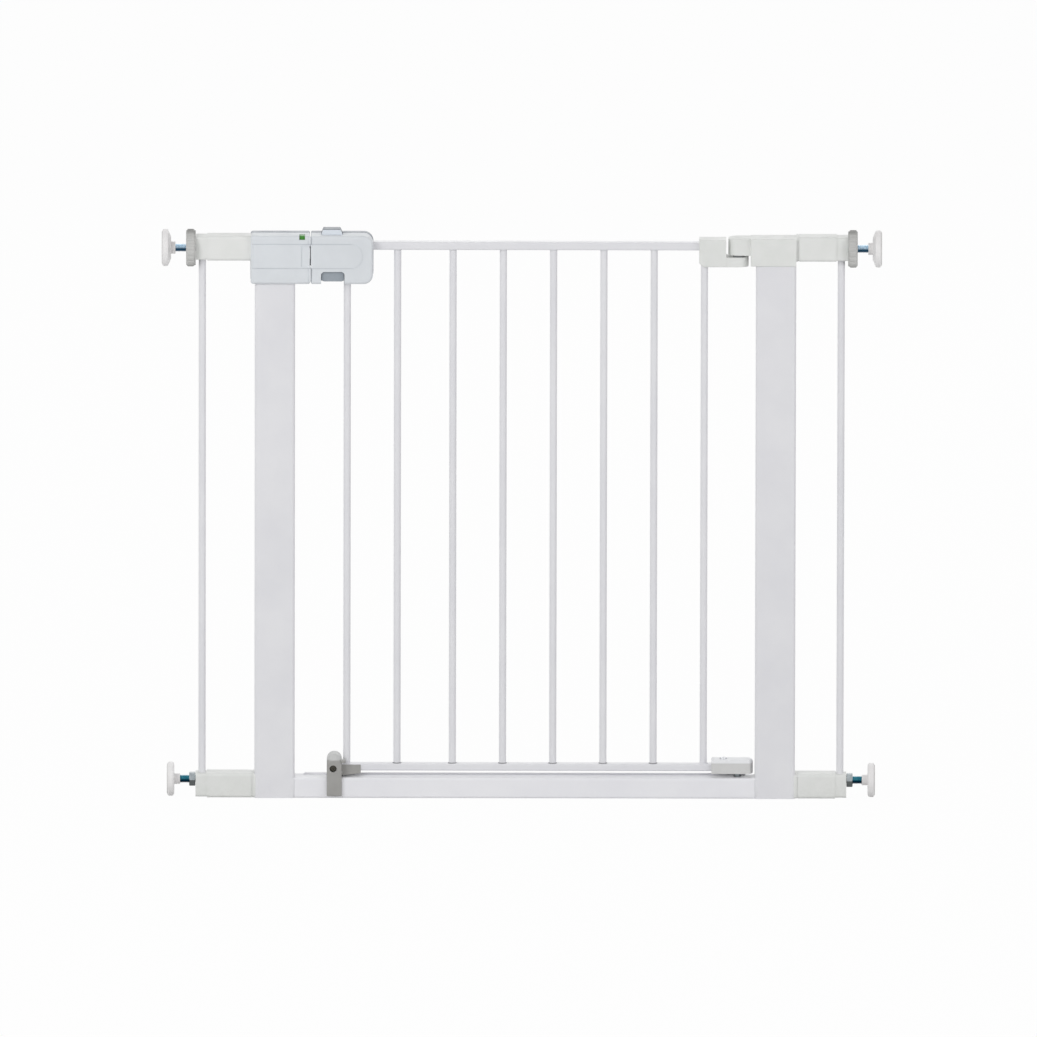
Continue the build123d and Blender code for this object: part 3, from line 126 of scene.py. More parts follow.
# Shares and counts of what is added here
THREAD_CREST_SHARE = 0.3  # of half a pitch
THREAD_FLANK_SHARE = 0.55
THREAD_STEPS = 20
COIL_STEPS = 28
BEAD_PINCH = 0.93
BEAD_FLATTEN = 0.85
RECESS_LENGTH = 1.16  # of the screw head's radius
RECESS_WIDTH = 0.26  # of the recess's length
RECESS_TAPER = 0.6
RECESS_DEPTH = 0.7  # of the screw head's height
FIRST_TWIST = 17  # degrees
NEXT_TWIST = 31
RING_COUNT = 4

# Limits for picking, in metres except the last
DOUBLES = 0.000002  # points closer than this become one
TOUCH = 0.00001  # a point this close to a plane lies on it
FLAT = 0.9  # a face whose normal has this share along an axis looks along it

# Studio, in metres and degrees except where it says so
FLOOR_SIZE = 80.0
FLOOR_CENTRE = (0, 10, -0.0002)
FLOOR_TONE = (0.75, 0.75, 0.75, 1)
FLOOR_GLOW = 0.97
WHITE = (1, 1, 1, 1)
SKY_STRENGTH = 0.51
LAMP_AIM = (0, 0, 0.35)
LAMPS = (  # name, place, size and power
    ("key_lamp", (-2.6, -3.0, 2.2), 2.2, 60.5),
    ("fill_lamp", (3.0, -2.6, 1.2), 2.6, 32.5),
    ("back_lamp", (0.6, 3.0, 2.4), 2.6, 18),
)
CAMERA_TILT = 10.5
CAMERA_ROLL = 0.11
CAMERA_REACH = 60.0
CAMERA_AIM = (-8.2, -15, 353.6)  # millimetres
CLIP_END = 200.0
SENSOR_WIDTH = 36.0  # millimetres
PICTURE_WIDTH = 1037  # pixels
PIXEL_SIZE = 1.24  # millimetres


def colour(red, green, blue):
    """A colour as it looks on screen, 0 to 255, made linear for the shaders."""
    def linear(level):
        share = level / 255
        return share / 12.92 if share <= 0.04045 else ((share + 0.055) / 1.055) ** 2.4
    return (linear(red), linear(green), linear(blue), 1.0)


# Modelling helpers

def deselect():
    if bpy.context.object and bpy.context.object.mode != "OBJECT":
        bpy.ops.object.mode_set(mode="OBJECT")
    bpy.ops.object.select_all(action="DESELECT")


def only(piece):
    """Makes a piece the one selected and active object."""
    deselect()
    piece.select_set(True)
    bpy.context.view_layer.objects.active = piece


def named(name):
    """The active object, under a name of its own."""
    piece = bpy.context.object
    piece.name = name
    piece.data.name = name
    return piece


def pick(piece, kind, test):
    """Goes into edit mode with those vertices, edges or faces selected that pass the test."""
    if bpy.context.object is not piece or piece.mode != "OBJECT":
        only(piece)
    mesh = piece.data
    for part in (mesh.vertices, mesh.edges, mesh.polygons):
        part.foreach_set("select", [False] * len(part))
    if kind == "VERT":
        for vertex in mesh.vertices:
            vertex.select = test(vertex.co)
    elif kind == "EDGE":
        for edge in mesh.edges:
            start, end = (mesh.vertices[v].co for v in edge.vertices)
            edge.select = test(start, end)
    else:
        for face in mesh.polygons:
            face.select = test(face.center, face.normal)
    bpy.ops.object.mode_set(mode="EDIT")
    bpy.ops.mesh.select_mode(type=kind)


def whole(piece):
    """Goes into edit mode with everything selected."""
    only(piece)
    bpy.ops.object.mode_set(mode="EDIT")
    bpy.ops.mesh.select_all(action="SELECT")


def done():
    bpy.ops.object.mode_set(mode="OBJECT")


def apply_modifiers(piece):
    only(piece)
    for modifier in list(piece.modifiers):
        bpy.ops.object.modifier_apply(modifier=modifier.name)


def settle(piece):
    """Puts the piece's place into its mesh, so that its object sits at the origin."""
    only(piece)
    bpy.ops.object.transform_apply(location=True, rotation=True, scale=True)


def smooth(piece, degrees):
    only(piece)
    bpy.ops.object.shade_smooth_by_angle(angle=math.radians(degrees))


def outwards(piece):
    """Closes doubles and turns every face outwards."""
    whole(piece)
    bpy.ops.mesh.remove_doubles(threshold=DOUBLES)
    bpy.ops.mesh.normals_make_consistent(inside=False)
    done()


def copied(piece, name):
    """A copy with a mesh of its own."""
    twin = piece.copy()
    twin.data = piece.data.copy()
    twin.name = name
    twin.data.name = name
    bpy.context.scene.collection.objects.link(twin)
    return twin


def sized_cube(name, size):
    """A cube drawn out to three sizes, to be shaped further."""
    deselect()
    bpy.ops.mesh.primitive_cube_add(size=1.0)
    piece = named(name)
    whole(piece)
    bpy.ops.transform.resize(value=size)
    done()
    return piece


def moved(piece, matrix):
    piece.data.transform(matrix)
    return piece


def joined(pieces, name):
    deselect()
    for piece in pieces:
        piece.select_set(True)
    bpy.context.view_layer.objects.active = pieces[0]
    bpy.ops.object.join()
    return named(name)


def dress(piece, material, body, replaced=()):
    """Gives a finished piece its material and its body, and hides the nodes that it stands for."""
    piece.data.materials.clear()
    piece.data.materials.append(material)
    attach(piece, body)
    if replaced:
        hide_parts(*replaced)
    return piece


# Shared surface effects

DUST_REACH = 0.035  # above the floor, in metres
DUST_TONE = colour(150, 146, 138)


def group(name, inputs, outputs):
    """An empty shader node group with its sockets, and its two end nodes."""
    tree = bpy.data.node_groups.new(name, "ShaderNodeTree")
    for label, kind, value in inputs:
        socket = tree.interface.new_socket(name=label, in_out="INPUT", socket_type=kind)
        if value is not None:
            socket.default_value = value
    for label, kind in outputs:
        tree.interface.new_socket(name=label, in_out="OUTPUT", socket_type=kind)
    return tree, tree.nodes.new("NodeGroupInput"), tree.nodes.new("NodeGroupOutput")


def noise(tree, vector, scale, detail, roughness):
    """A noise node; scale is a number or an output that gives one."""
    node = tree.nodes.new("ShaderNodeTexNoise")
    node.inputs["Detail"].default_value = detail
    node.inputs["Roughness"].default_value = roughness
    if isinstance(scale, (int, float)):
        node.inputs["Scale"].default_value = scale
    else:
        tree.links.new(scale, node.inputs["Scale"])
    tree.links.new(vector, node.inputs["Vector"])
    return node.outputs["Fac"]


def spread(tree, value, low, high, out_low, out_high):
    """Maps a value from one range to another; the ends of the new range may be outputs."""
    node = tree.nodes.new("ShaderNodeMapRange")
    tree.links.new(value, node.inputs["Value"])
    for label, end in (("From Min", low), ("From Max", high), ("To Min", out_low), ("To Max", out_high)):
        if isinstance(end, (int, float)):
            node.inputs[label].default_value = end
        else:
            tree.links.new(end, node.inputs[label])
    return node.outputs["Result"]


def sums(tree, operation, first, second):
    node = tree.nodes.new("ShaderNodeMath")
    node.operation = operation
    for socket, value in zip(node.inputs, (first, second)):
        if isinstance(value, (int, float)):
            socket.default_value = value
        else:
            tree.links.new(value, socket)
    return node.outputs["Value"]


def blended(tree, share, first, second):
    """A colour between two colours; each may be a value or an output."""
    node = tree.nodes.new("ShaderNodeMix")
    node.data_type = "RGBA"
    tree.links.new(share, node.inputs["Factor"])
    for label, value in (("A", first), ("B", second)):
        socket = [s for s in node.inputs if s.name == label and s.type == "RGBA"][0]
        if isinstance(value, tuple):
            socket.default_value = value
        else:
            tree.links.new(value, socket)
    return [s for s in node.outputs if s.type == "RGBA"][0]


def vary_gloss(tree, start, end, value, low, high):
    """Lets a value between two levels carry the roughness from one end of its spread to the other."""
    least = sums(tree, "SUBTRACT", start.outputs["Gloss"], start.outputs["Gloss Spread"])
    most = sums(tree, "ADD", start.outputs["Gloss"], start.outputs["Gloss Spread"])
    tree.links.new(spread(tree, value, low, high, least, most), end.inputs["Roughness"])


def along(tree, vector):
    """The X, Y and Z outputs of a vector."""
    axes = tree.nodes.new("ShaderNodeSeparateXYZ")
    tree.links.new(vector, axes.inputs["Vector"])
    return axes.outputs


def make_tone_drift():
    """Slow drift between two close tones, with floor dust towards the bottom of the gate."""
    tree, start, end = group(
        "tone_drift",
        [("Position", "NodeSocketVector", None), ("Tone", "NodeSocketColor", (0.8, 0.8, 0.8, 1)),
         ("Drift", "NodeSocketColor", (0.7, 0.7, 0.7, 1)), ("Size", "NodeSocketFloat", 30.0),
         ("Dust", "NodeSocketFloat", 0.1)],
        [("Colour", "NodeSocketColor")])
    drift = noise(tree, start.outputs["Position"], start.outputs["Size"], 3.0, 0.55)
    share = spread(tree, drift, 0.35, 0.68, 0.0, 1.0)
    mixed = blended(tree, share, start.outputs["Tone"], start.outputs["Drift"])
    low = spread(tree, along(tree, start.outputs["Position"])["Z"], 0.0, DUST_REACH, 1.0, 0.0)
    specks = noise(tree, start.outputs["Position"], 240.0, 5.0, 0.7)
    settled = sums(tree, "MULTIPLY", low, spread(tree, specks, 0.4, 0.7, 0.2, 1.0))
    dusty = sums(tree, "MULTIPLY", settled, start.outputs["Dust"])
    tree.links.new(blended(tree, dusty, mixed, DUST_TONE), end.inputs["Colour"])
    return tree


def make_paint_skin():
    """The faint orange peel of powder coat: a height, and a gloss that varies a little."""
    tree, start, end = group(
        "paint_skin",
        [("Position", "NodeSocketVector", None), ("Peel", "NodeSocketFloat", 420.0),
         ("Gloss", "NodeSocketFloat", 0.32), ("Gloss Spread", "NodeSocketFloat", 0.06)],
        [("Height", "NodeSocketFloat"), ("Roughness", "NodeSocketFloat")])
    peel = noise(tree, start.outputs["Position"], start.outputs["Peel"], 1.5, 0.4)
    finer = sums(tree, "MULTIPLY", start.outputs["Peel"], 4.0)
    nib = noise(tree, start.outputs["Position"], finer, 2.0, 0.5)
    tree.links.new(sums(tree, "ADD", peel, sums(tree, "MULTIPLY", nib, 0.15)), end.inputs["Height"])
    patch = noise(tree, start.outputs["Position"], 45.0, 3.0, 0.6)
    vary_gloss(tree, start, end, patch, 0.3, 0.7)
    return tree


def make_moulded_grain():
    """The fine spark-eroded grain of a plastic moulding, with rubbed patches."""
    tree, start, end = group(
        "moulded_grain",
        [("Position", "NodeSocketVector", None), ("Grain", "NodeSocketFloat", 2200.0),
         ("Gloss", "NodeSocketFloat", 0.48), ("Gloss Spread", "NodeSocketFloat", 0.08)],
        [("Height", "NodeSocketFloat"), ("Roughness", "NodeSocketFloat")])
    cells = tree.nodes.new("ShaderNodeTexVoronoi")
    cells.feature = "SMOOTH_F1"
    tree.links.new(start.outputs["Position"], cells.inputs["Vector"])
    tree.links.new(start.outputs["Grain"], cells.inputs["Scale"])
    flow = noise(tree, start.outputs["Position"], 90.0, 2.0, 0.5)
    tree.links.new(sums(tree, "ADD", cells.outputs["Distance"], sums(tree, "MULTIPLY", flow, 0.6)),
                   end.inputs["Height"])
    rub = noise(tree, start.outputs["Position"], 60.0, 4.0, 0.62)
    vary_gloss(tree, start, end, rub, 0.32, 0.68)
    return tree


def make_plated_streaks():
    """Drawn lines and cloudy tarnish of bright zinc."""
    tree, start, end = group(
        "plated_streaks",
        [("Position", "NodeSocketVector", None), ("Line Stretch", "NodeSocketVector", (1.0, 1.0, 1.0)),
         ("Gloss", "NodeSocketFloat", 0.28), ("Gloss Spread", "NodeSocketFloat", 0.1)],
        [("Height", "NodeSocketFloat"), ("Roughness", "NodeSocketFloat"), ("Cloud", "NodeSocketFloat")])
    scaled = tree.nodes.new("ShaderNodeVectorMath")
    scaled.operation = "MULTIPLY"
    tree.links.new(start.outputs["Position"], scaled.inputs[0])
    tree.links.new(start.outputs["Line Stretch"], scaled.inputs[1])
    lines = noise(tree, scaled.outputs["Vector"], 1600.0, 2.0, 0.5)
    cloud = noise(tree, start.outputs["Position"], 170.0, 4.0, 0.6)
    tree.links.new(lines, end.inputs["Height"])
    tree.links.new(cloud, end.inputs["Cloud"])
    uneven = sums(tree, "ADD", sums(tree, "MULTIPLY", cloud, 0.7), sums(tree, "MULTIPLY", lines, 0.3))
    vary_gloss(tree, start, end, uneven, 0.3, 0.7)
    return tree


TONE_DRIFT = make_tone_drift()
PAINT_SKIN = make_paint_skin()
MOULDED_GRAIN = make_moulded_grain()
PLATED_STREAKS = make_plated_streaks()


# Finishes, with lengths in millimetres except where it says so

FINE_GRAIN = 2200.0
GRAIN_DEPTH = 0.00005  # metres
MOULDING_DUST = 0.1
UNDERSIDE_SHADE_FADE = 0.5
SHADE_FROM = 0.78  # share of the hand-wheels' radius, where the painted shade begins
LINE_FADE = (0.2, 0.9)  # from the raised band's edge
LINE_STRENGTH = 0.55
LINE_DEPTH = (1.2, 2.2)  # behind the handle's front
LINE_END = 6.0  # past the middle of the band's round end
LIT_FRONT_DEPTH = (0.1, 0.6)  # behind the button's front
BLOCK_HIGHLIGHT_FADE = (4.6, 3.4)  # below the block's top
CATCH_HIGHLIGHT_FADE = (8.2, 6.0)
LOW_SCREW_FADE = (200, 300)  # heights between the screw near the floor and the others
EVEN_STRETCH = (1.0, 1.0, 1.0)
LENGTHWISE_STRETCH = (0.15, 1.0, 1.0)
WIRE_STRETCH = (1.0, 1.0, 0.3)
ZINC_TONE = colour(172, 179, 182)
ZINC_TARNISH = colour(142, 149, 153)


def new_finish(name):
    """A material with its tree and its shader."""
    finish = bpy.data.materials.new(name)
    finish.use_nodes = True
    tree = finish.node_tree
    shader = [n for n in tree.nodes if n.type == "BSDF_PRINCIPLED"][0]
    return finish, tree, shader


def own(tree, kind):
    """The piece's own coordinates, as Object, or its own normals, as Normal."""
    return tree.nodes.new("ShaderNodeTexCoord").outputs[kind]


def placed(tree, source, values):
    """A shared effect placed in a material with its own values."""
    node = tree.nodes.new("ShaderNodeGroup")
    node.node_tree = source
    tree.links.new(own(tree, "Object"), node.inputs["Position"])
    for label, value in values.items():
        node.inputs[label].default_value = value
    return node


def raise_bump(tree, shader, height, strength, distance):
    bump = tree.nodes.new("ShaderNodeBump")
    bump.inputs["Strength"].default_value = strength
    bump.inputs["Distance"].default_value = distance
    tree.links.new(height, bump.inputs["Height"])
    tree.links.new(bump.outputs["Normal"], shader.inputs["Normal"])


def powder_coat(name, tone, drift, dust):
    finish, tree, shader = new_finish(name)
    tint = placed(tree, TONE_DRIFT, {"Tone": tone, "Drift": drift, "Size": 14.0, "Dust": dust})
    skin = placed(tree, PAINT_SKIN, {"Peel": 420.0, "Gloss": 0.34, "Gloss Spread": 0.06})
    tree.links.new(tint.outputs["Colour"], shader.inputs["Base Color"])
    tree.links.new(skin.outputs["Roughness"], shader.inputs["Roughness"])
    raise_bump(tree, shader, skin.outputs["Height"], 0.22, 0.0001)
    shader.inputs["Coat Weight"].default_value = 0.15
    shader.inputs["Coat Roughness"].default_value = 0.25
    return finish


def moulded(name, tone, drift, gloss, dust=0.0, grain=FINE_GRAIN, depth=GRAIN_DEPTH):
    """A grained plastic: its material, tree and shader, and the output that gives its tone."""
    finish, tree, shader = new_finish(name)
    tint = placed(tree, TONE_DRIFT, {"Tone": tone, "Drift": drift, "Size": 28.0, "Dust": dust})
    skin = placed(tree, MOULDED_GRAIN, {"Grain": grain, "Gloss": gloss, "Gloss Spread": 0.07})
    tree.links.new(tint.outputs["Colour"], shader.inputs["Base Color"])
    tree.links.new(skin.outputs["Roughness"], shader.inputs["Roughness"])
    raise_bump(tree, shader, skin.outputs["Height"], 0.35, depth)
    return finish, tree, shader, tint.outputs["Colour"]


def moulding(name, tone, drift, gloss, dust=MOULDING_DUST, **skin):
    """A grained plastic of one tone."""
    return moulded(name, tone, drift, gloss, dust, **skin)[0]


def wheel_moulding(name, tone, drift, end_shade):
    """The hand-wheels' moulding, with painted shade that darkens it towards the two ends of its height."""
    finish, tree, shader, tint = moulded(name, tone, drift, 0.5)
    low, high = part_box("left_hand_wheel")
    middle, radius = (low.z + high.z) / 2, (high.z - low.z) / 2
    height = along(tree, own(tree, "Object"))["Z"]
    away = sums(tree, "ABSOLUTE", sums(tree, "SUBTRACT", height, middle), 0.0)
    share = spread(tree, away, radius * SHADE_FROM, radius, 0.0, 1.0)
    tree.links.new(blended(tree, share, tint, end_shade), shader.inputs["Base Color"])
    return finish


def top_highlit_moulding(name, tone, drift, pale, node, fade):
    """A moulding with a painted highlight that makes its top paler; the tones meet between two depths below
    it.
    """
    finish, tree, shader, tint = moulded(name, tone, drift, 0.46)
    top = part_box(node)[1].z
    start, end = (top - depth * MM for depth in fade)
    share = spread(tree, along(tree, own(tree, "Object"))["Z"], start, end, 0.0, 1.0)
    tree.links.new(blended(tree, share, tint, pale), shader.inputs["Base Color"])
    return finish


def banded_moulding(name, tone, drift, line):
    """The housings' moulding, with faint dark lines of painted shade along the raised band's long edges."""
    finish, tree, shader, tint = moulded(name, tone, drift, 0.42)
    low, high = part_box("handle_front_shell")
    band_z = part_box("strike_rear_shell")[1].z - BAND_DROP * MM
    band_end = high.x - (BAND_END_MARGIN + BAND_HEIGHT / 2) * MM
    axes = along(tree, own(tree, "Object"))
    height = sums(tree, "ABSOLUTE", sums(tree, "SUBTRACT", axes["Z"], band_z), 0.0)
    away = sums(tree, "ABSOLUTE", sums(tree, "SUBTRACT", height, BAND_HEIGHT / 2 * MM), 0.0)
    share = spread(tree, away, LINE_FADE[0] * MM, LINE_FADE[1] * MM, LINE_STRENGTH, 0.0)
    in_front = spread(tree, axes["Y"], low.y + LINE_DEPTH[0] * MM, low.y + LINE_DEPTH[1] * MM, 1.0, 0.0)
    before_end = spread(tree, axes["X"], band_end, band_end + LINE_END * MM, 1.0, 0.0)
    for limit in (in_front, before_end):
        share = sums(tree, "MULTIPLY", share, limit)
    tree.links.new(blended(tree, share, tint, line), shader.inputs["Base Color"])
    return finish


def front_lit_button(name, tone, drift, lit_front):
    """The button's slate moulding, with painted light that makes its front face paler than its top and
    sides.
    """
    finish, tree, shader, tint = moulded(name, tone, drift, 0.4)
    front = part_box("upper_button")[0].y
    start, end = (front + depth * MM for depth in LIT_FRONT_DEPTH)
    share = spread(tree, along(tree, own(tree, "Object"))["Y"], start, end, 1.0, 0.0)
    tree.links.new(blended(tree, share, tint, lit_front), shader.inputs["Base Color"])
    return finish


def plate(name, tone, tarnish, gloss, stretch):
    """Zinc plate: its material, tree and shader, and the output that gives its clouded tone."""
    finish, tree, shader = new_finish(name)
    streaks = placed(tree, PLATED_STREAKS, {"Line Stretch": stretch, "Gloss": gloss, "Gloss Spread": 0.1})
    share = spread(tree, streaks.outputs["Cloud"], 0.36, 0.66, 0.0, 1.0)
    skin = blended(tree, share, tone, tarnish)
    tree.links.new(skin, shader.inputs["Base Color"])
    tree.links.new(streaks.outputs["Roughness"], shader.inputs["Roughness"])
    raise_bump(tree, shader, streaks.outputs["Height"], 0.25, 0.00003)
    shader.inputs["Metallic"].default_value = 1.0
    return finish, tree, shader, skin


def underside_shaded_plate(name, tone, tarnish, gloss, stretch, underside_shade, level=0.25):
    """Zinc plate with painted shade: a darker tone on the faces that look up less than a level."""
    finish, tree, shader, skin = plate(name, tone, tarnish, gloss, stretch)
    facing = along(tree, own(tree, "Normal"))["Z"]
    share = spread(tree, facing, level - UNDERSIDE_SHADE_FADE, level, 1.0, 0.0)
    tree.links.new(blended(tree, share, skin, underside_shade), shader.inputs["Base Color"])
    return finish


def screw_plate(name, low_tone):
    """Bright zinc on the screws, with another tone on the one screw near the floor."""
    finish, tree, shader, skin = plate(name, ZINC_TONE, ZINC_TARNISH, 0.3, EVEN_STRETCH)
    start, end = (height * MM for height in LOW_SCREW_FADE)
    share = spread(tree, along(tree, own(tree, "Object"))["Z"], start, end, 1.0, 0.0)
    tree.links.new(blended(tree, share, skin, low_tone), shader.inputs["Base Color"])
    return finish


WHITE_STEEL = powder_coat("white_powder_coat", colour(233, 233, 236), colour(228, 228, 232), 0.03)
# The threshold's paler copy of the white coat is painted light against the shade near the floor
THRESHOLD_PAINTED_LIGHT = powder_coat("threshold_powder_coat_painted_light", colour(242, 242, 245), colour(238, 238, 242), 0.0)
ARM_WHITE = moulding("arm_white_moulding", colour(233, 234, 232), colour(227, 229, 226), 0.46)
# The darker colour on the housings is painted shade along the raised band's edges
HOUSING_WHITE = banded_moulding("housing_white_moulding", colour(224, 228, 232), colour(219, 223, 227),
                                colour(188, 193, 199))
# The hinge block's and the catch's paler tops are painted highlights
BLOCK_WHITE = top_highlit_moulding("hinge_block_moulding", colour(216, 216, 215), colour(210, 210, 209),
                              colour(238, 239, 241), "lower_hinge_block", BLOCK_HIGHLIGHT_FADE)
CATCH_GREY = top_highlit_moulding("catch_moulding", colour(166, 165, 162), colour(157, 156, 153),
                             colour(202, 203, 202), "bottom_catch", CATCH_HIGHLIGHT_FADE)
# The grey of the lower beads is painted shade at the bars' feet
BAR_FOOT_SHADE_GREY = powder_coat("bar_foot_painted_shade", colour(152, 152, 155), colour(140, 140, 144), 0.05)
REAR_GREY = moulding("rear_shell_moulding", colour(168, 173, 179), colour(160, 165, 172), 0.42)
SLATE = moulding("slate_button_moulding", colour(155, 163, 171), colour(146, 154, 163), 0.4)
# The top button's darker top and sides are painted shade, and its paler front is painted light
TOP_BUTTON = front_lit_button("top_button_moulding", colour(132, 138, 146), colour(124, 130, 138),
                             colour(226, 232, 239))
MID_GREY = moulding("mid_grey_moulding", colour(166, 165, 162), colour(157, 156, 153), 0.5, dust=0.2)
# The hand-wheels' darker tone is painted shade towards their top and bottom
WHEEL_GREY = wheel_moulding("wheel_grey_moulding", colour(200, 200, 198), colour(191, 191, 189),
                            colour(136, 136, 134))
INNER_GREY = moulding("inner_grey_moulding", colour(150, 152, 155), colour(141, 143, 147), 0.4)
PAD_WHITE = moulding("pad_white_moulding", colour(242, 241, 241), colour(237, 235, 235), 0.44)
PAD_SOFT = moulding("pad_soft_face", colour(206, 206, 203), colour(196, 196, 193), 0.8, grain=1400.0,
                    depth=0.0001)
FLAG_GREEN = moulding("flag_green_moulding", colour(62, 142, 40), colour(54, 128, 34), 0.4)
BACKING_RED = moulding("backing_red_moulding", colour(196, 52, 44), colour(180, 44, 38), 0.4)
# The darker undersides of the rods, nuts and zinc parts are painted shade
BLUE_ZINC = underside_shaded_plate("blue_zinc_plate", colour(214, 232, 244), colour(180, 208, 226), 0.26,
                          LENGTHWISE_STRETCH, colour(44, 86, 114), 0.34)
TEAL_ZINC = underside_shaded_plate("teal_zinc_plate", colour(70, 150, 168), colour(48, 122, 144), 0.26,
                          LENGTHWISE_STRETCH, colour(4, 44, 66), 0.3)
BRIGHT_ZINC = underside_shaded_plate("bright_zinc_plate", ZINC_TONE, ZINC_TARNISH, 0.3, EVEN_STRETCH,
                            colour(92, 96, 96))
# The catch screw's dark tone is painted shade of its deep seat
FRAME_SCREWS = screw_plate("frame_screw_plate", colour(74, 72, 66))
DOOR_SCREWS = screw_plate("door_screw_plate", colour(202, 204, 207))
SPRING_WIRE = plate("spring_wire", colour(150, 150, 152), colour(120, 120, 124), 0.3, WIRE_STRETCH)[0]

FINISHES = {
    "painted_steel": WHITE_STEEL,
    "arm_plastic": ARM_WHITE,
    "housing_plastic": HOUSING_WHITE,
    "rear_shell_plastic": REAR_GREY,
    "button_plastic": SLATE,
    "grey_plastic": MID_GREY,
    "wheel_plastic": WHEEL_GREY,
    "inner_plastic": INNER_GREY,
    "pad_plastic": PAD_WHITE,
    "pad_rubber": PAD_SOFT,
    "zinc_rod": BLUE_ZINC,
    "zinc": BRIGHT_ZINC,
    "spring_steel": SPRING_WIRE,
    "flag_green": FLAG_GREEN,
    "backing_red": BACKING_RED,
}
OWN_FINISHES = {
    "upper_button": TOP_BUTTON,
    "lower_hinge_block": BLOCK_WHITE,
    "bottom_catch": CATCH_GREY,
    "threshold_bar": THRESHOLD_PAINTED_LIGHT,
}


def finish_solids():
    """Gives each solid the finish of its slot, or one of its own where it has one."""
    slots = {entry["node"]: entry["material_slot"] for entry in frame["record"]["subparts"]}
    for name, solid in nodes.items():
        solid.data.materials.clear()
        solid.data.materials.append(OWN_FINISHES.get(name, FINISHES[slots[name]]))


# Threaded rods

def thread_profile():
    """One pitch of the thread's outline, as a bent line along X."""
    half = THREAD_PITCH * MM / 2
    depth = (THREAD_CREST - THREAD_ROOT) * MM
    crest_end, flank_end = half * THREAD_CREST_SHARE, half * THREAD_FLANK_SHARE
    deselect()
    bpy.ops.mesh.primitive_plane_add(size=THREAD_PITCH * MM)
    line = named("thread_line")
    pick(line, "VERT", lambda co: co.y > 0)
    bpy.ops.mesh.delete(type="VERT")
    whole(line)
    bpy.ops.mesh.subdivide(number_cuts=7)
    bpy.ops.transform.translate(value=(0, half, THREAD_ROOT * MM))
    done()
    pick(line, "VERT", lambda co: abs(co.x) < crest_end)
    bpy.ops.transform.translate(value=(0, 0, depth))
    done()
    pick(line, "VERT", lambda co: crest_end < abs(co.x) < flank_end)
    bpy.ops.transform.translate(value=(0, 0, depth / 2))
    done()
    return line


def threaded_rod(name, low, high):
    """A rod along X with a rolled thread, cut square at both ends and filled."""
    length = high.x - low.x
    turns = math.ceil(length / (THREAD_PITCH * MM)) + 2
    rod = thread_profile()
    rod.name = name
    screw = rod.modifiers.new("thread", "SCREW")
    screw.axis = "X"
    screw.screw_offset = THREAD_PITCH * MM
    screw.iterations = turns
    screw.steps = THREAD_STEPS
    screw.render_steps = THREAD_STEPS
    screw.use_merge_vertices = True
    apply_modifiers(rod)
    moved(rod, Matrix.Translation((-turns * THREAD_PITCH * MM / 2, 0, 0)))
    for side in (-1, 1):
        whole(rod)
        bpy.ops.mesh.bisect(plane_co=(side * length / 2, 0, 0), plane_no=(side, 0, 0), use_fill=True,
                            clear_outer=True)
        done()
    outwards(rod)
    for side in (-1, 1):
        end = side * length / 2
        pick(rod, "FACE", lambda at, facing: facing.x * side > FLAT and abs(at.x - end) < TOUCH)
        bpy.ops.mesh.inset(thickness=ROD_END_INSET * MM)
        done()
    moved(rod, Matrix.Translation((low + high) / 2))
    smooth(rod, 40)
    return rod


def rods():
    for side in ("left", "right"):
        for level, finish in (("top", BLUE_ZINC), ("bottom", TEAL_ZINC)):
            node = f"{side}_{level}_rod"
            low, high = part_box(node)
            rod = threaded_rod(f"{node}_thread", low, high)
            dress(rod, finish, f"{side}_{level}_spindle", [node])


# Welds, collars and rib

def weld_bead(name, x, z, side):
    """A slightly uneven bead between a bar's end and its rail."""
    deselect()
    bpy.ops.mesh.primitive_torus_add(location=(x, 0, z), major_segments=40, minor_segments=10,
                                     major_radius=(BAR_RADIUS + BEAD_GAP) * MM,
                                     minor_radius=BEAD_RADIUS * MM)
    bead = named(name)
    settle(bead)
    pick(bead, "VERT", lambda co: (co.z - z) * side > BEAD_PINCH_FROM * MM)
    bpy.ops.transform.resize(value=(BEAD_PINCH, BEAD_PINCH, 1), center_override=(x, 0, z))
    bpy.ops.mesh.select_all(action="SELECT")
    bpy.ops.transform.resize(value=(1, 1, BEAD_FLATTEN), center_override=(x, 0, z))
    bpy.ops.transform.vertex_random(offset=BEAD_UNEVEN * MM, seed=int(abs(x) * 1000) + int(z * 100))
    bpy.ops.mesh.vertices_smooth(factor=0.6, repeat=2)
    done()
    smooth(bead, 80)
    return bead


def weld_beads():
    """Beads at both ends of each bar, where no moulding covers them."""
    for index in range(1, BAR_COUNT + 1):
        low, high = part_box(f"door_bar_{index}")
        x = (low.x + high.x) / 2
        if index > 1:
            # The lower beads carry painted shade at the bars' feet
            finish = BAR_FOOT_SHADE_GREY if index < BAR_COUNT else WHITE_STEEL
            bead = weld_bead(f"door_bar_{index}_lower_bead", x, low.z + BEAD_LIFT * MM, 1)
            dress(bead, finish, "door")
        if 1 < index < BAR_COUNT:
            bead = weld_bead(f"door_bar_{index}_upper_bead", x, high.z - BEAD_LIFT * MM, -1)
            dress(bead, WHITE_STEEL, "door")


def corner_fill(height, rounding):
    """A strip that fills the groove beside a post's rounded corner, facing -Y, with its front at y 0."""
    strip = sized_cube("corner_fill", ((POST_CORNER + FILL_LAP) * MM, FILL_DEPTH * MM, height))
    pick(strip, "EDGE", lambda start, end: max(start.y, end.y) < 0 and abs(start.z + end.z) > height - TOUCH)
    bpy.ops.mesh.bevel(offset=rounding * MM, segments=6)
    done()
    smooth(strip, 40)
    return moved(strip, Matrix.Translation((0, FILL_DEPTH / 2 * MM, 0)))


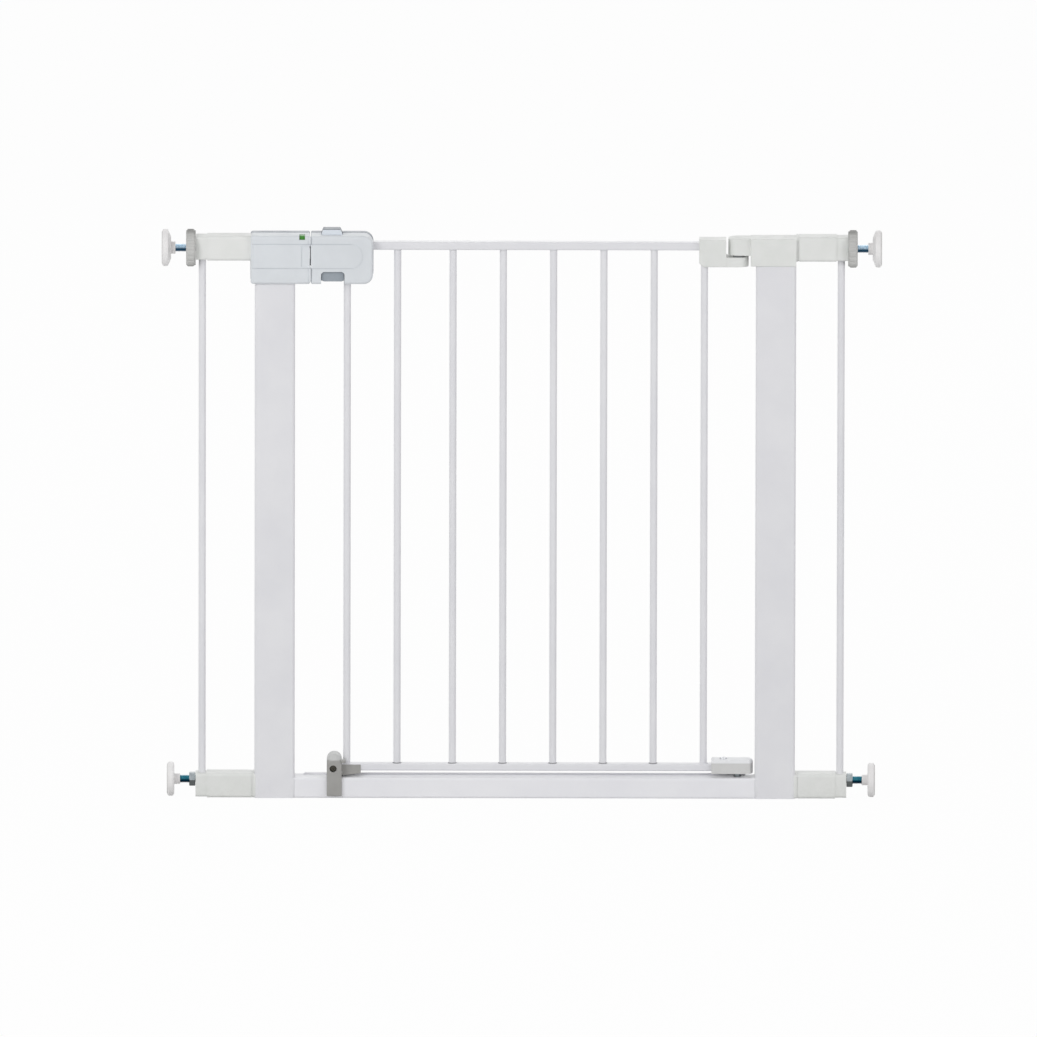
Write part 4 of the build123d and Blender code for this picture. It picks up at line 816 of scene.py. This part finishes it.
def filled_corners(name, low, high, rounding, corners):
    """Front and rear strips at each post corner: its x, and which way the post lies from there."""
    strip = corner_fill(high.z - low.z, rounding)
    strips = []
    for x, inward in corners:
        for turn, y in ((0, low.y - WELD_CROWN * MM), (math.pi, high.y + WELD_CROWN * MM)):
            where = Vector((x + inward * (POST_CORNER / 2 - FILL_SHIFT) * MM, y, (low.z + high.z) / 2))
            twin = copied(strip, f"{name}_{len(strips)}")
            strips.append(moved(twin, Matrix.Translation(where) @ Matrix.Rotation(turn, 4, "Z")))
    bpy.data.objects.remove(strip)
    return joined(strips, name)


def threshold_welds():
    """The threshold is welded to both posts at the front and at the rear, and ground flush."""
    low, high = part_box("threshold_bar")
    welds = filled_corners("threshold_welds", low, high, THRESHOLD_CORNER, ((low.x, -1), (high.x, 1)))
    dress(welds, WHITE_STEEL, "frame")


def threshold_rib():
    """A low pressed rib along the rear of the threshold, under the door's bottom rail."""
    low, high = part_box("threshold_bar")
    length = high.x - low.x - 2 * RIB_END * MM
    tall = (RIB_HEIGHT + RIB_SINK) * MM
    rib = sized_cube("threshold_rib", (length, RIB_WIDTH * MM, tall))
    for end in (-1, 1):
        pick(rib, "VERT", lambda co: co.z > 0 and co.x * end > 0)
        bpy.ops.transform.translate(value=(-end * RIB_WIDTH * MM, 0, 0))
        done()
    pick(rib, "EDGE", lambda start, finish: min(start.z, finish.z) > 0)
    bpy.ops.mesh.bevel(offset=RIB_ROUND * MM, segments=4)
    done()
    smooth(rib, 40)
    where = Vector(((low.x + high.x) / 2, high.y - RIB_SETBACK * MM, high.z + tall / 2 - RIB_SINK * MM))
    moved(rib, Matrix.Translation(where))
    dress(rib, THRESHOLD_PAINTED_LIGHT, "frame")


def arm_collars():
    """The bottom arms' collars fit round the posts' outer corners."""
    for side, end, inward in (("left", 0, 1), ("right", 1, -1)):
        low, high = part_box(f"{side}_extension_bottom_arm")
        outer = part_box(f"{side}_post")[end].x
        collar = filled_corners(f"{side}_arm_collar", low, high, ARM_CORNER, ((outer, inward),))
        dress(collar, ARM_WHITE, "frame")


# Latch

def meeting_lip(name, x, y, low, high):
    """A thin upright lip with eased edges, which hides the gap beside the strike."""
    width = LIP_ROOT + LATCH_GAP - LIP_SLOT
    lip = sized_cube(name, (width * MM, LIP_THICKNESS * MM, high - low))
    pick(lip, "VERT", lambda co: co.y > 0 and co.x > 0)
    bpy.ops.transform.translate(value=(-LIP_DRAFT * MM, 0, 0))
    done()
    whole(lip)
    bpy.ops.mesh.bevel(offset=LIP_EDGE * MM, segments=2)
    done()
    smooth(lip, 40)
    return moved(lip, Matrix.Translation((x, y, (low + high) / 2)))


def meeting_lips():
    """Lips on the strike close the gap to the handle above and below the noses."""
    low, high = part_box("strike_front_shell")
    band_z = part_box("strike_rear_shell")[1].z - BAND_DROP * MM
    x = high.x + (LATCH_GAP - LIP_SLOT - LIP_ROOT) / 2 * MM
    y = low.y + (BAND_RAISE + LIP_THICKNESS / 2 + LIP_SINK) * MM
    reach = NOSE_WINDOW / 2 * MM
    lips = [meeting_lip("upper_lip", x, y, band_z + reach, high.z - LIP_TOP_DROP * MM),
            meeting_lip("lower_lip", x, y, low.z + LIP_FOOT_RISE * MM, band_z - reach)]
    dress(joined(lips, "meeting_lips"), HOUSING_WHITE, "frame")


def coil_spring(name, low, high):
    """A coil of round wire along Z between two heights, with closed ends."""
    deselect()
    bpy.ops.mesh.primitive_circle_add(vertices=10, radius=COIL_WIRE / 2 * MM)
    wire = named(name)
    whole(wire)
    bpy.ops.transform.rotate(value=math.pi / 2, orient_axis="X", center_override=(0, 0, 0))
    bpy.ops.transform.translate(value=(COIL_RADIUS * MM, 0, 0))
    done()
    coil = wire.modifiers.new("coil", "SCREW")
    coil.axis = "Z"
    coil.screw_offset = (high.z - low.z - COIL_WIRE * MM) / COIL_TURNS
    coil.iterations = COIL_TURNS
    coil.steps = COIL_STEPS
    coil.render_steps = COIL_STEPS
    apply_modifiers(wire)
    whole(wire)
    bpy.ops.mesh.fill_holes(sides=0)
    done()
    outwards(wire)
    smooth(wire, 50)
    middle = (low + high) / 2
    return moved(wire, Matrix.Translation((middle.x, middle.y, low.z + COIL_WIRE / 2 * MM)))


def return_springs():
    """A wire coil for each return spring, which is held at the web."""
    for level, held in (("upper", 0), ("lower", 1)):
        node = f"{level}_return_spring"
        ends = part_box(node)
        spring = dress(coil_spring(f"{level}_coil", *ends), SPRING_WIRE, "door", [node])
        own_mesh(spring)


# Screws

def cross_recess(radius, depth):
    """A cutter for a cross recess at the origin, narrower at its foot."""
    bars = []
    for long, wide in ((radius, radius * RECESS_WIDTH), (radius * RECESS_WIDTH, radius)):
        bar = sized_cube("recess_bar", (long * RECESS_LENGTH, wide * RECESS_LENGTH, 2 * depth))
        pick(bar, "VERT", lambda co: co.z < 0)
        bpy.ops.transform.resize(value=(RECESS_TAPER, RECESS_TAPER, 1), center_override=(0, 0, -depth))
        done()
        bars.append(bar)
    return bars


def screw_model(kind, shank_length):
    """A domed screw along Z: the head's seat is at the origin and the shank goes down."""
    radius, height, shank_radius = (size * MM for size in kind)
    deselect()
    bpy.ops.mesh.primitive_cylinder_add(vertices=32, radius=radius, depth=height,
                                        location=(0, 0, height / 2))
    screw = named("screw")
    settle(screw)
    pick(screw, "FACE", lambda at, facing: facing.z < -FLAT)
    bpy.ops.mesh.inset(thickness=radius - shank_radius)
    bpy.ops.mesh.extrude_region_move(TRANSFORM_OT_translate={"value": (0, 0, -shank_length * MM)})
    done()
    pick(screw, "EDGE", lambda start, end: min(start.z, end.z) > height - TOUCH)
    bpy.ops.mesh.bevel(offset=height * 0.5, segments=5, profile=0.5)
    done()
    for bar in cross_recess(radius, height * RECESS_DEPTH):
        moved(bar, Matrix.Translation((0, 0, height)))
        cut = screw.modifiers.new("recess", "BOOLEAN")
        cut.operation = "DIFFERENCE"
        cut.object = bar
        apply_modifiers(screw)
        bpy.data.objects.remove(bar)
    outwards(screw)
    smooth(screw, 30)
    return screw


def driven(name, kind, shank_length, places, turn):
    """One kind of screw, copied to its places and turned to its direction."""
    model = screw_model(kind, shank_length)
    copies = []
    for count, where in enumerate(places):
        twist = Matrix.Rotation(math.radians(FIRST_TWIST + NEXT_TWIST * count), 4, "Z")
        copies.append(moved(copied(model, f"{name}_{count}"), Matrix.Translation(where) @ turn @ twist))
    bpy.data.objects.remove(model)
    return copies


FROM_REAR = Matrix.Rotation(math.radians(-90), 4, "X")
FROM_FRONT = Matrix.Rotation(math.radians(90), 4, "X")
FROM_ABOVE = Matrix.Identity(4)


def fixed_screws(seat):
    """Screws in the strike's back, the hinge bracket and the bottom catch."""
    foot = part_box("strike_rear_shell")[0].z
    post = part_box("left_post")[1]
    x = post.x - STRIKE_SCREW_INSET * MM
    strike = [(x, seat, foot + LOW_SCREW_RISE * MM), (x, seat, post.z - STRIKE_TOP_SCREW_DROP * MM)]
    low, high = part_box("hinge_bracket")
    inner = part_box("right_post")[0].x
    bracket = [(inner + step * MM, high.y, (low.z + high.z) / 2) for step in BRACKET_SCREW_STEPS]
    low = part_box("bottom_catch")[0]
    catch = [(low.x + CATCH_SCREW_INSET * MM, low.y + CATCH_SCREW_SEAT * MM, CATCH_SCREW_HEIGHT * MM)]
    fixed = driven("strike_screw", HOUSING_SCREW, STRIKE_SCREW_LENGTH, strike, FROM_REAR)
    fixed += driven("bracket_screw", HOUSING_SCREW, BRACKET_SCREW_LENGTH, bracket, FROM_REAR)
    fixed += driven("catch_screw", CATCH_SCREW, CATCH_SCREW_LENGTH, catch, FROM_FRONT)
    dress(joined(fixed, "frame_screw_set"), FRAME_SCREWS, "frame", ["frame_screws"])


def swung_screws(seat):
    """Screws in the handle's back and the lower hinge block."""
    low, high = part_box("handle_rear_shell")
    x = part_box("handle_front_shell")[0].x + HANDLE_SCREW_INSET * MM
    handle = [(x, seat, low.z + LOW_SCREW_RISE * MM), (x, seat, high.z - HANDLE_TOP_SCREW_DROP * MM),
              (high.x - HANDLE_END_SCREW[0] * MM, seat, low.z + HANDLE_END_SCREW[1] * MM)]
    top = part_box("lower_hinge_block")[1].z
    low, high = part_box("lower_hinge_pin")
    block = [((low.x + high.x) / 2 - BLOCK_SCREW_OFFSET * MM, 0, top)]
    swung = driven("handle_screw", HOUSING_SCREW, HANDLE_SCREW_LENGTH, handle, FROM_REAR)
    swung += driven("block_screw", BLOCK_SCREW, BLOCK_SCREW_LENGTH, block, FROM_ABOVE)
    dress(joined(swung, "door_screw_set"), DOOR_SCREWS, "door", ["door_screws"])


def screws():
    """Cross-recess screws of the frame and the door; the housings' backs share one depth of seat."""
    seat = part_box("strike_rear_shell")[1].y - SCREW_SEAT_DEPTH * MM
    fixed_screws(seat)
    swung_screws(seat)


# Soft faces of the wall pads

def soft_face(name, node, side):
    """A soft disc with raised rings, so that the pad grips the wall."""
    low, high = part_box(node)
    middle = (low + high) / 2
    radius, thickness = (high.z - low.z) / 2, high.x - low.x
    outer = middle.x + side * thickness / 2
    deselect()
    bpy.ops.mesh.primitive_cylinder_add(vertices=96, radius=radius, depth=thickness, location=middle,
                                        rotation=(0, math.pi / 2, 0))
    disc = named(name)
    settle(disc)
    pick(disc, "EDGE", lambda start, end: abs(start.x - outer) < TOUCH and abs(end.x - outer) < TOUCH)
    bpy.ops.mesh.bevel(offset=FACE_EDGE * MM, segments=3)
    done()
    pick(disc, "FACE", lambda at, facing: facing.x * side > FLAT and abs(at.x - outer) < TOUCH)
    for ring in range(RING_COUNT):
        bpy.ops.mesh.inset(thickness=(RING_WIDTH if ring else RIM_WIDTH) * MM)
        bpy.ops.mesh.inset(thickness=GROOVE_FLANK * MM)
        bpy.ops.transform.translate(value=(-side * GROOVE_DEPTH * MM, 0, 0))
        bpy.ops.mesh.inset(thickness=GROOVE_WIDTH * MM)
        bpy.ops.mesh.inset(thickness=GROOVE_FLANK * MM)
        bpy.ops.transform.translate(value=(side * GROOVE_DEPTH * MM, 0, 0))
    done()
    outwards(disc)
    smooth(disc, 30)
    return disc


def soft_faces():
    for side, sign in (("left", -1), ("right", 1)):
        for level in ("top", "bottom"):
            node = f"{side}_{level}_pad_face"
            face = soft_face(f"{node}_rings", node, sign)
            dress(face, PAD_SOFT, f"{side}_{level}_spindle", [node])


# Floor, light and camera

def shown_apart(tree, out, lighting, shown, share):
    """Lets one shader give the light, while a share of another is what the camera sees."""
    rays = tree.nodes.new("ShaderNodeLightPath")
    seen = sums(tree, "MAXIMUM", rays.outputs["Is Camera Ray"], rays.outputs["Is Glossy Ray"])
    seen = sums(tree, "MAXIMUM", seen, rays.outputs["Is Transmission Ray"])
    mix = tree.nodes.new("ShaderNodeMixShader")
    tree.links.new(sums(tree, "MULTIPLY", seen, share), mix.inputs["Fac"])
    tree.links.new(lighting, mix.inputs[1])
    tree.links.new(shown, mix.inputs[2])
    tree.links.new(mix.outputs["Shader"], out.inputs["Surface"])


def studio_floor():
    """A pale floor that takes the gate's shadow faintly."""
    deselect()
    bpy.ops.mesh.primitive_plane_add(size=FLOOR_SIZE, location=FLOOR_CENTRE)
    floor = named("studio_floor")
    settle(floor)
    finish = bpy.data.materials.new("pale_floor")
    finish.use_nodes = True
    tree = finish.node_tree
    tree.nodes.clear()
    out = tree.nodes.new("ShaderNodeOutputMaterial")
    paper = tree.nodes.new("ShaderNodeBsdfDiffuse")
    paper.inputs["Color"].default_value = FLOOR_TONE
    glow = tree.nodes.new("ShaderNodeEmission")
    glow.inputs["Strength"].default_value = 1.0
    shown_apart(tree, out, paper.outputs["BSDF"], glow.outputs["Emission"], FLOOR_GLOW)
    floor.data.materials.append(finish)


def soft_lamp(name, where, size, power):
    data = bpy.data.lights.new(name, "AREA")
    data.shape = "SQUARE"
    data.size = size
    data.energy = power
    lamp = bpy.data.objects.new(name, data)
    bpy.context.scene.collection.objects.link(lamp)
    lamp.location = where
    lamp.rotation_euler = (Vector(LAMP_AIM) - Vector(where)).to_track_quat("-Z", "Y").to_euler()


def backdrop(tree, strength):
    """A white background of the given strength."""
    node = tree.nodes.new("ShaderNodeBackground")
    node.inputs["Color"].default_value = WHITE
    node.inputs["Strength"].default_value = strength
    return node.outputs["Background"]


def studio_light():
    """A white backdrop, a softer sky for the light itself, and three large lamps."""
    world = bpy.data.worlds.new("studio")
    bpy.context.scene.world = world
    world.use_nodes = True
    tree = world.node_tree
    tree.nodes.clear()
    out = tree.nodes.new("ShaderNodeOutputWorld")
    shown_apart(tree, out, backdrop(tree, SKY_STRENGTH), backdrop(tree, 1.0), 1.0)
    for lamp in LAMPS:
        soft_lamp(*lamp)


def studio_camera():
    """A long lens in front of the gate, a little above it."""
    tilt = math.radians(CAMERA_TILT)
    roll = Matrix.Rotation(math.radians(CAMERA_ROLL), 3, "Z")
    aim = Vector(CAMERA_AIM) * MM
    data = bpy.data.cameras.new("camera")
    data.sensor_width = SENSOR_WIDTH
    data.lens = SENSOR_WIDTH * CAMERA_REACH / (PICTURE_WIDTH * PIXEL_SIZE * MM)
    data.clip_end = CLIP_END
    camera = bpy.data.objects.new("camera", data)
    bpy.context.scene.collection.objects.link(camera)
    camera.location = aim + Vector((0, -math.cos(tilt), math.sin(tilt))) * CAMERA_REACH
    turned = (aim - camera.location).to_track_quat("-Z", "Y").to_matrix() @ roll
    camera.rotation_euler = turned.to_euler()
    bpy.context.scene.camera = camera


studio_camera()
studio_light()
studio_floor()
finish_solids()
rods()
weld_beads()
threshold_welds()
threshold_rib()
arm_collars()
meeting_lips()
return_springs()
screws()
soft_faces()

bpy.context.scene.view_settings.view_transform = "Standard"
